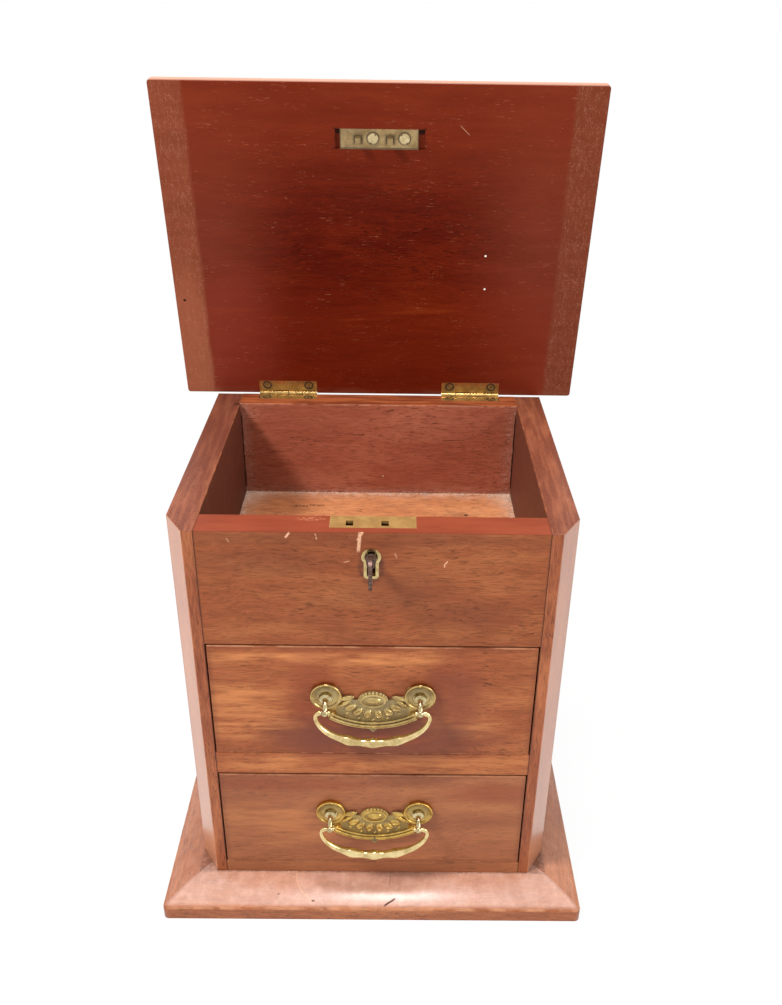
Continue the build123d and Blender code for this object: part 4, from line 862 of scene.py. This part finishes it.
def link_grime_and_shade(metal):
    """Dirt in patches and along the link plate's edges, and painted shade round its screw heads
    and staples.
    """
    up, out = lid_places(metal)
    darkening = metal.noise(6, 4, 0.65, (2, 1, 1), (3, 1, 2)).ease(0.40, 0.75) * 0.55
    # Painted shade: a dark ring round each screw head.
    for screw_x in link_screw_xs:
        from_screw = distance(metal.x, up, (screw_x, link_up))
        darkening = darkening.most(abs(from_screw - dome_radius).ease(0.9, 0.2) * 0.9)
    # Painted shade: darker round the foot of each staple.
    for staple_x in staple_xs:
        from_staple = abs(metal.x - staple_x).most(abs(up - link_up + 0.8))
        darkening = darkening.most(from_staple.ease(4.4, 2.2) * out.ease(0.8, -0.2) * 0.85)
    edge = (abs(metal.x) - link_half).most(abs(up - link_up) - link_half_width)
    return darkening.most(edge.ease(-1.1, -0.2) * 0.8)


def dome_grime_and_shade(metal):
    """Dirt in patches on the two large screw heads, and painted shade at their rims."""
    up, out = lid_places(metal)
    darkening = metal.noise(2, 3, 0.6).ease(0.5, 0.8) * 0.4
    # Painted shade: each head is darker at its rim.
    for screw_x in link_screw_xs:
        from_screw = distance(metal.x, up, (screw_x, link_up))
        darkening = darkening.most(from_screw.ease(3.2, 3.6) * from_screw.ease(6, 5) * 0.7)
    return darkening


lock_brass = brass("lock_brass", lock_tones, 0.34, lock_grime, patch=8, seed=3.0, bare=0.45)
dress(lock_brass, "lock_plate", "lock_case", "lock_bolt")
link_brass = brass("link_plate_brass", link_tones, 0.24, link_grime_and_shade, patch=7, seed=5.0)
dress(link_brass, "link_plate")
dome_brass = brass("link_screw_brass", dome_tones, 0.2, dome_grime_and_shade, patch=3, seed=8.0)
dress(dome_brass, "link_plate_screws")
ring_brass = brass("escutcheon_brass", ring_tones, 0.22, patch=3, seed=2.0)
dress(ring_brass, "escutcheon")

# The key: a cast iron pipe key, browned by handling, with its ridges worn to bare metal.
# It stands in the lock with its bow edge-on to the front.
iron = Finish("key_iron", metallic=0.75)
rust = iron.noise(1.4, 4, 0.65)
grain = iron.mix(rust.ease(0.38, 0.6), (0.075, 0.052, 0.045), (0.14, 0.065, 0.042))
ridges = iron.noise(0.7, 3).ease(0.55, 0.72)
grain = iron.mix(ridges * 0.7, grain, (0.36, 0.28, 0.24))
dress(iron.close(grain, rust * 0.3 + 0.26, rust, 0.08), "key")

# The bolt's spring: a bent strip of spring steel that bears up on the bolt, inside the
# lock's case. It is plain bright steel, since no hand reaches it.
steel = Finish("spring_steel", metallic=1.0)
smooth = steel.noise(3, 3)
grain = steel.mix(smooth, (0.30, 0.30, 0.31), (0.42, 0.42, 0.43))
dress(steel.close(grain, smooth * 0.2 + 0.25), "bolt_spring")

# The handles: a plate pressed from sheet brass, two turned posts held by square nuts, and
# a cast bail that swings in the posts' eyes. Fingers keep the bail bright. Old polish has
# gone green and brown in the plate's hollows.
post_across = 30.4
post_below_top = 10.2
diamond_rise = 3.6
pale_tones = ((0.62, 0.45, 0.18), (0.40, 0.27, 0.10), (0.16, 0.125, 0.075))
gold_tones = ((0.70, 0.46, 0.12), (0.48, 0.30, 0.08), (0.15, 0.12, 0.07))
bail_tones = ((0.86, 0.68, 0.34), (0.56, 0.41, 0.17), (0.22, 0.14, 0.05))
post_tones = ((0.66, 0.55, 0.32), (0.42, 0.32, 0.15), (0.20, 0.16, 0.11))


def plate_grime_and_shade(drawer):
    """Grime in the hollows of a pressed plate by depth below its relief, and painted shade atop
    each rose's dish.
    """
    low, high = box_mm(f"{drawer}_handle_plate")
    middle = (low.x + high.x) / 2
    post_z = high.z - post_below_top

    def mask(metal):
        depth = metal.y - front_y
        across = abs(metal.x - middle)
        fan = across.ease(24.5, 22.5) * metal.z.ease(low.z + 6.6, low.z + 8.2)
        ground = depth.ease(-1.9, -1.5) * 0.65
        cups = depth.ease(-2.5, -1.9) * across.ease(20, 18) * 0.5
        mottled = metal.noise(1.5, 3, 0.6, shift=(8, 3, 1)).ease(0.2, 0.55)
        darkening = ground.most(cups) * fan * mottled
        groove = depth.ease(-1.8, -1.5) * (1 - fan) * across.ease(28, 26)
        darkening = darkening.most(groove * metal.z.ease(low.z + 14, low.z + 10) * 0.55)
        from_post = distance(across, metal.z, (post_across, post_z))
        # Painted shade: each rose's dish is darker towards its top.
        dish = from_post.ease(9.0, 7.8) * from_post.ease(4.0, 5.0)
        shade = (metal.z - post_z).ease(-5, 5)
        darkening = darkening.most(dish * (shade * 0.45 + 0.12)).most(from_post.ease(5.6, 4.7) * 0.5)
        if drawer == "lower":
            diamond = across + abs(metal.z - (low.z + diamond_rise))
            darkening = darkening.most(diamond.ease(3.6, 2.8) * 0.85)
        return darkening

    return mask


pale_brass = brass("upper_plate_brass", pale_tones, 0.2, plate_grime_and_shade("upper"), 6, seed=1.0)
gold_brass = brass("lower_plate_brass", gold_tones, 0.2, plate_grime_and_shade("lower"), 6, seed=4.0)
bail_brass = brass("bail_brass", bail_tones, 0.17, patch=9, seed=6.0)
post_brass = brass("post_brass", post_tones, 0.16, patch=2.5, seed=9.0)
dress(pale_brass, "upper_handle_plate")
dress(gold_brass, "lower_handle_plate")
dress(bail_brass, "upper_bail", "lower_bail")
dress(post_brass, "upper_handle_posts", "lower_handle_posts")
dress(screw_brass, "upper_handle_nuts", "lower_handle_nuts")

# The room: a white floor that runs out of sight and keeps the chest's soft shadow, and a
# white surround that the polish and the brass reflect.
half_floor = 6.0
floor_drop = 0.0002
shadow_reach = (350, 900)
near_glow = 0.92
surround_level = 0.43


def seen_directly(tree):
    """One on rays from the camera, off a shiny surface or through a clear one."""
    kinds = ("Camera", "Glossy", "Transmission")
    return greatest(tree.node("ShaderNodeLightPath", output=f"Is {kind} Ray") for kind in kinds)


ground = Finish("white_floor")
grain = ground.mix(ground.noise(400, 2), (0.90, 0.90, 0.90), (0.93, 0.93, 0.93))
ground.close(grain, ground.noise(300, 2) * 0.1 + 0.8)
glow = ground.node("ShaderNodeEmission", {}, {"Strength": 1.0})
reach = distance(ground.x, ground.y, (0.0, 0.0))
open_floor = seen_directly(ground) * reach.ease(*shadow_reach, near_glow, 1.0)
lit = Wire(ground, ground.shader.outputs[0])
surface = ground.node("ShaderNodeMixShader", {}, {0: open_floor, 1: lit, 2: glow})
output = ground.tree.nodes["Material Output"]
ground.tree.links.new(surface.socket, output.inputs["Surface"])
corners = ((-1, -1), (1, -1), (1, 1), (-1, 1))
mesh = bpy.data.meshes.new("floor")
floor_places = [(x * half_floor, y * half_floor, -floor_drop) for x, y in corners]
mesh.from_pydata(floor_places, [], [(0, 1, 2, 3)])
mesh.materials.append(ground.material)
table = bpy.data.objects.new("floor", mesh)
bpy.context.scene.collection.objects.link(table)

world = bpy.data.worlds.new("surround")
bpy.context.scene.world = world
world.use_nodes = True
sky = Tree(world.node_tree)
strength = seen_directly(sky) * (1 - surround_level) + surround_level
backdrop = sky.tree.nodes["Background"]
backdrop.inputs["Color"].default_value = (1, 1, 1, 1)
sky.tree.links.new(strength.socket, backdrop.inputs["Strength"])

# The lamps: a strong soft one above and to the left, whose shadow falls across the
# compartment's back, a broad one overhead for the plinth's sheen, and a weak one right.
case_middle = (0, 0, 0.25)


def lamp(name, place, aim, width, length, power):
    """A soft lamp of a width and length at a place, turned to light another."""
    light = bpy.data.lights.new(name, "AREA")
    light.shape = "RECTANGLE"
    light.size = width
    light.size_y = length
    light.energy = power
    holder = bpy.data.objects.new(name, light)
    bpy.context.scene.collection.objects.link(holder)
    holder.location = place
    holder.rotation_euler = (Vector(aim) - Vector(place)).to_track_quat("-Z", "Y").to_euler()
    return holder


key_lamp = lamp("key_lamp", (-1.10, -0.70, 1.80), case_middle, 0.36, 0.36, 43)
key_lamp.visible_glossy = False
lamp("overhead_lamp", (0.04, -0.02, 1.95), (0.04, -0.019, 0.0), 0.42, 0.60, 23)
lamp("right_lamp", (1.35, -0.75, 0.65), case_middle, 0.80, 0.80, 9)

# The camera: a little above and right of the chest, looking down at its front, as the
# photograph was taken. Its lens is shifted a little, because the picture was cropped.
sensor_width = 36.0
picture_height = 1005
focal_px = 937.5
shift_x_px = -9.69
shift_y_px = -36.01
camera_x = 0.01197
camera_before_front = 0.46924
camera_z = 0.59756
pitch = radians(27.474)
yaw = radians(0.481)
roll = radians(0.860)
ahead = Vector((sin(yaw) * cos(pitch), cos(yaw) * cos(pitch), -sin(pitch)))
level_right = Vector((cos(yaw), -sin(yaw), 0))
level_up = level_right.cross(ahead)
right = cos(roll) * level_right + sin(roll) * level_up
up = -sin(roll) * level_right + cos(roll) * level_up
lens = bpy.data.cameras.new("camera")
lens.sensor_width = sensor_width
lens.lens = focal_px / picture_height * sensor_width
lens.shift_x = shift_x_px / picture_height
lens.shift_y = shift_y_px / picture_height
lens.clip_start = 0.01
camera = bpy.data.objects.new("camera", lens)
bpy.context.scene.collection.objects.link(camera)
stand = Matrix.Translation((camera_x, front_y / MM - camera_before_front, camera_z))
camera.matrix_world = stand @ Matrix((right, up, -ahead)).transposed().to_4x4()
bpy.context.scene.camera = camera
bpy.context.scene.view_settings.view_transform = "Standard"
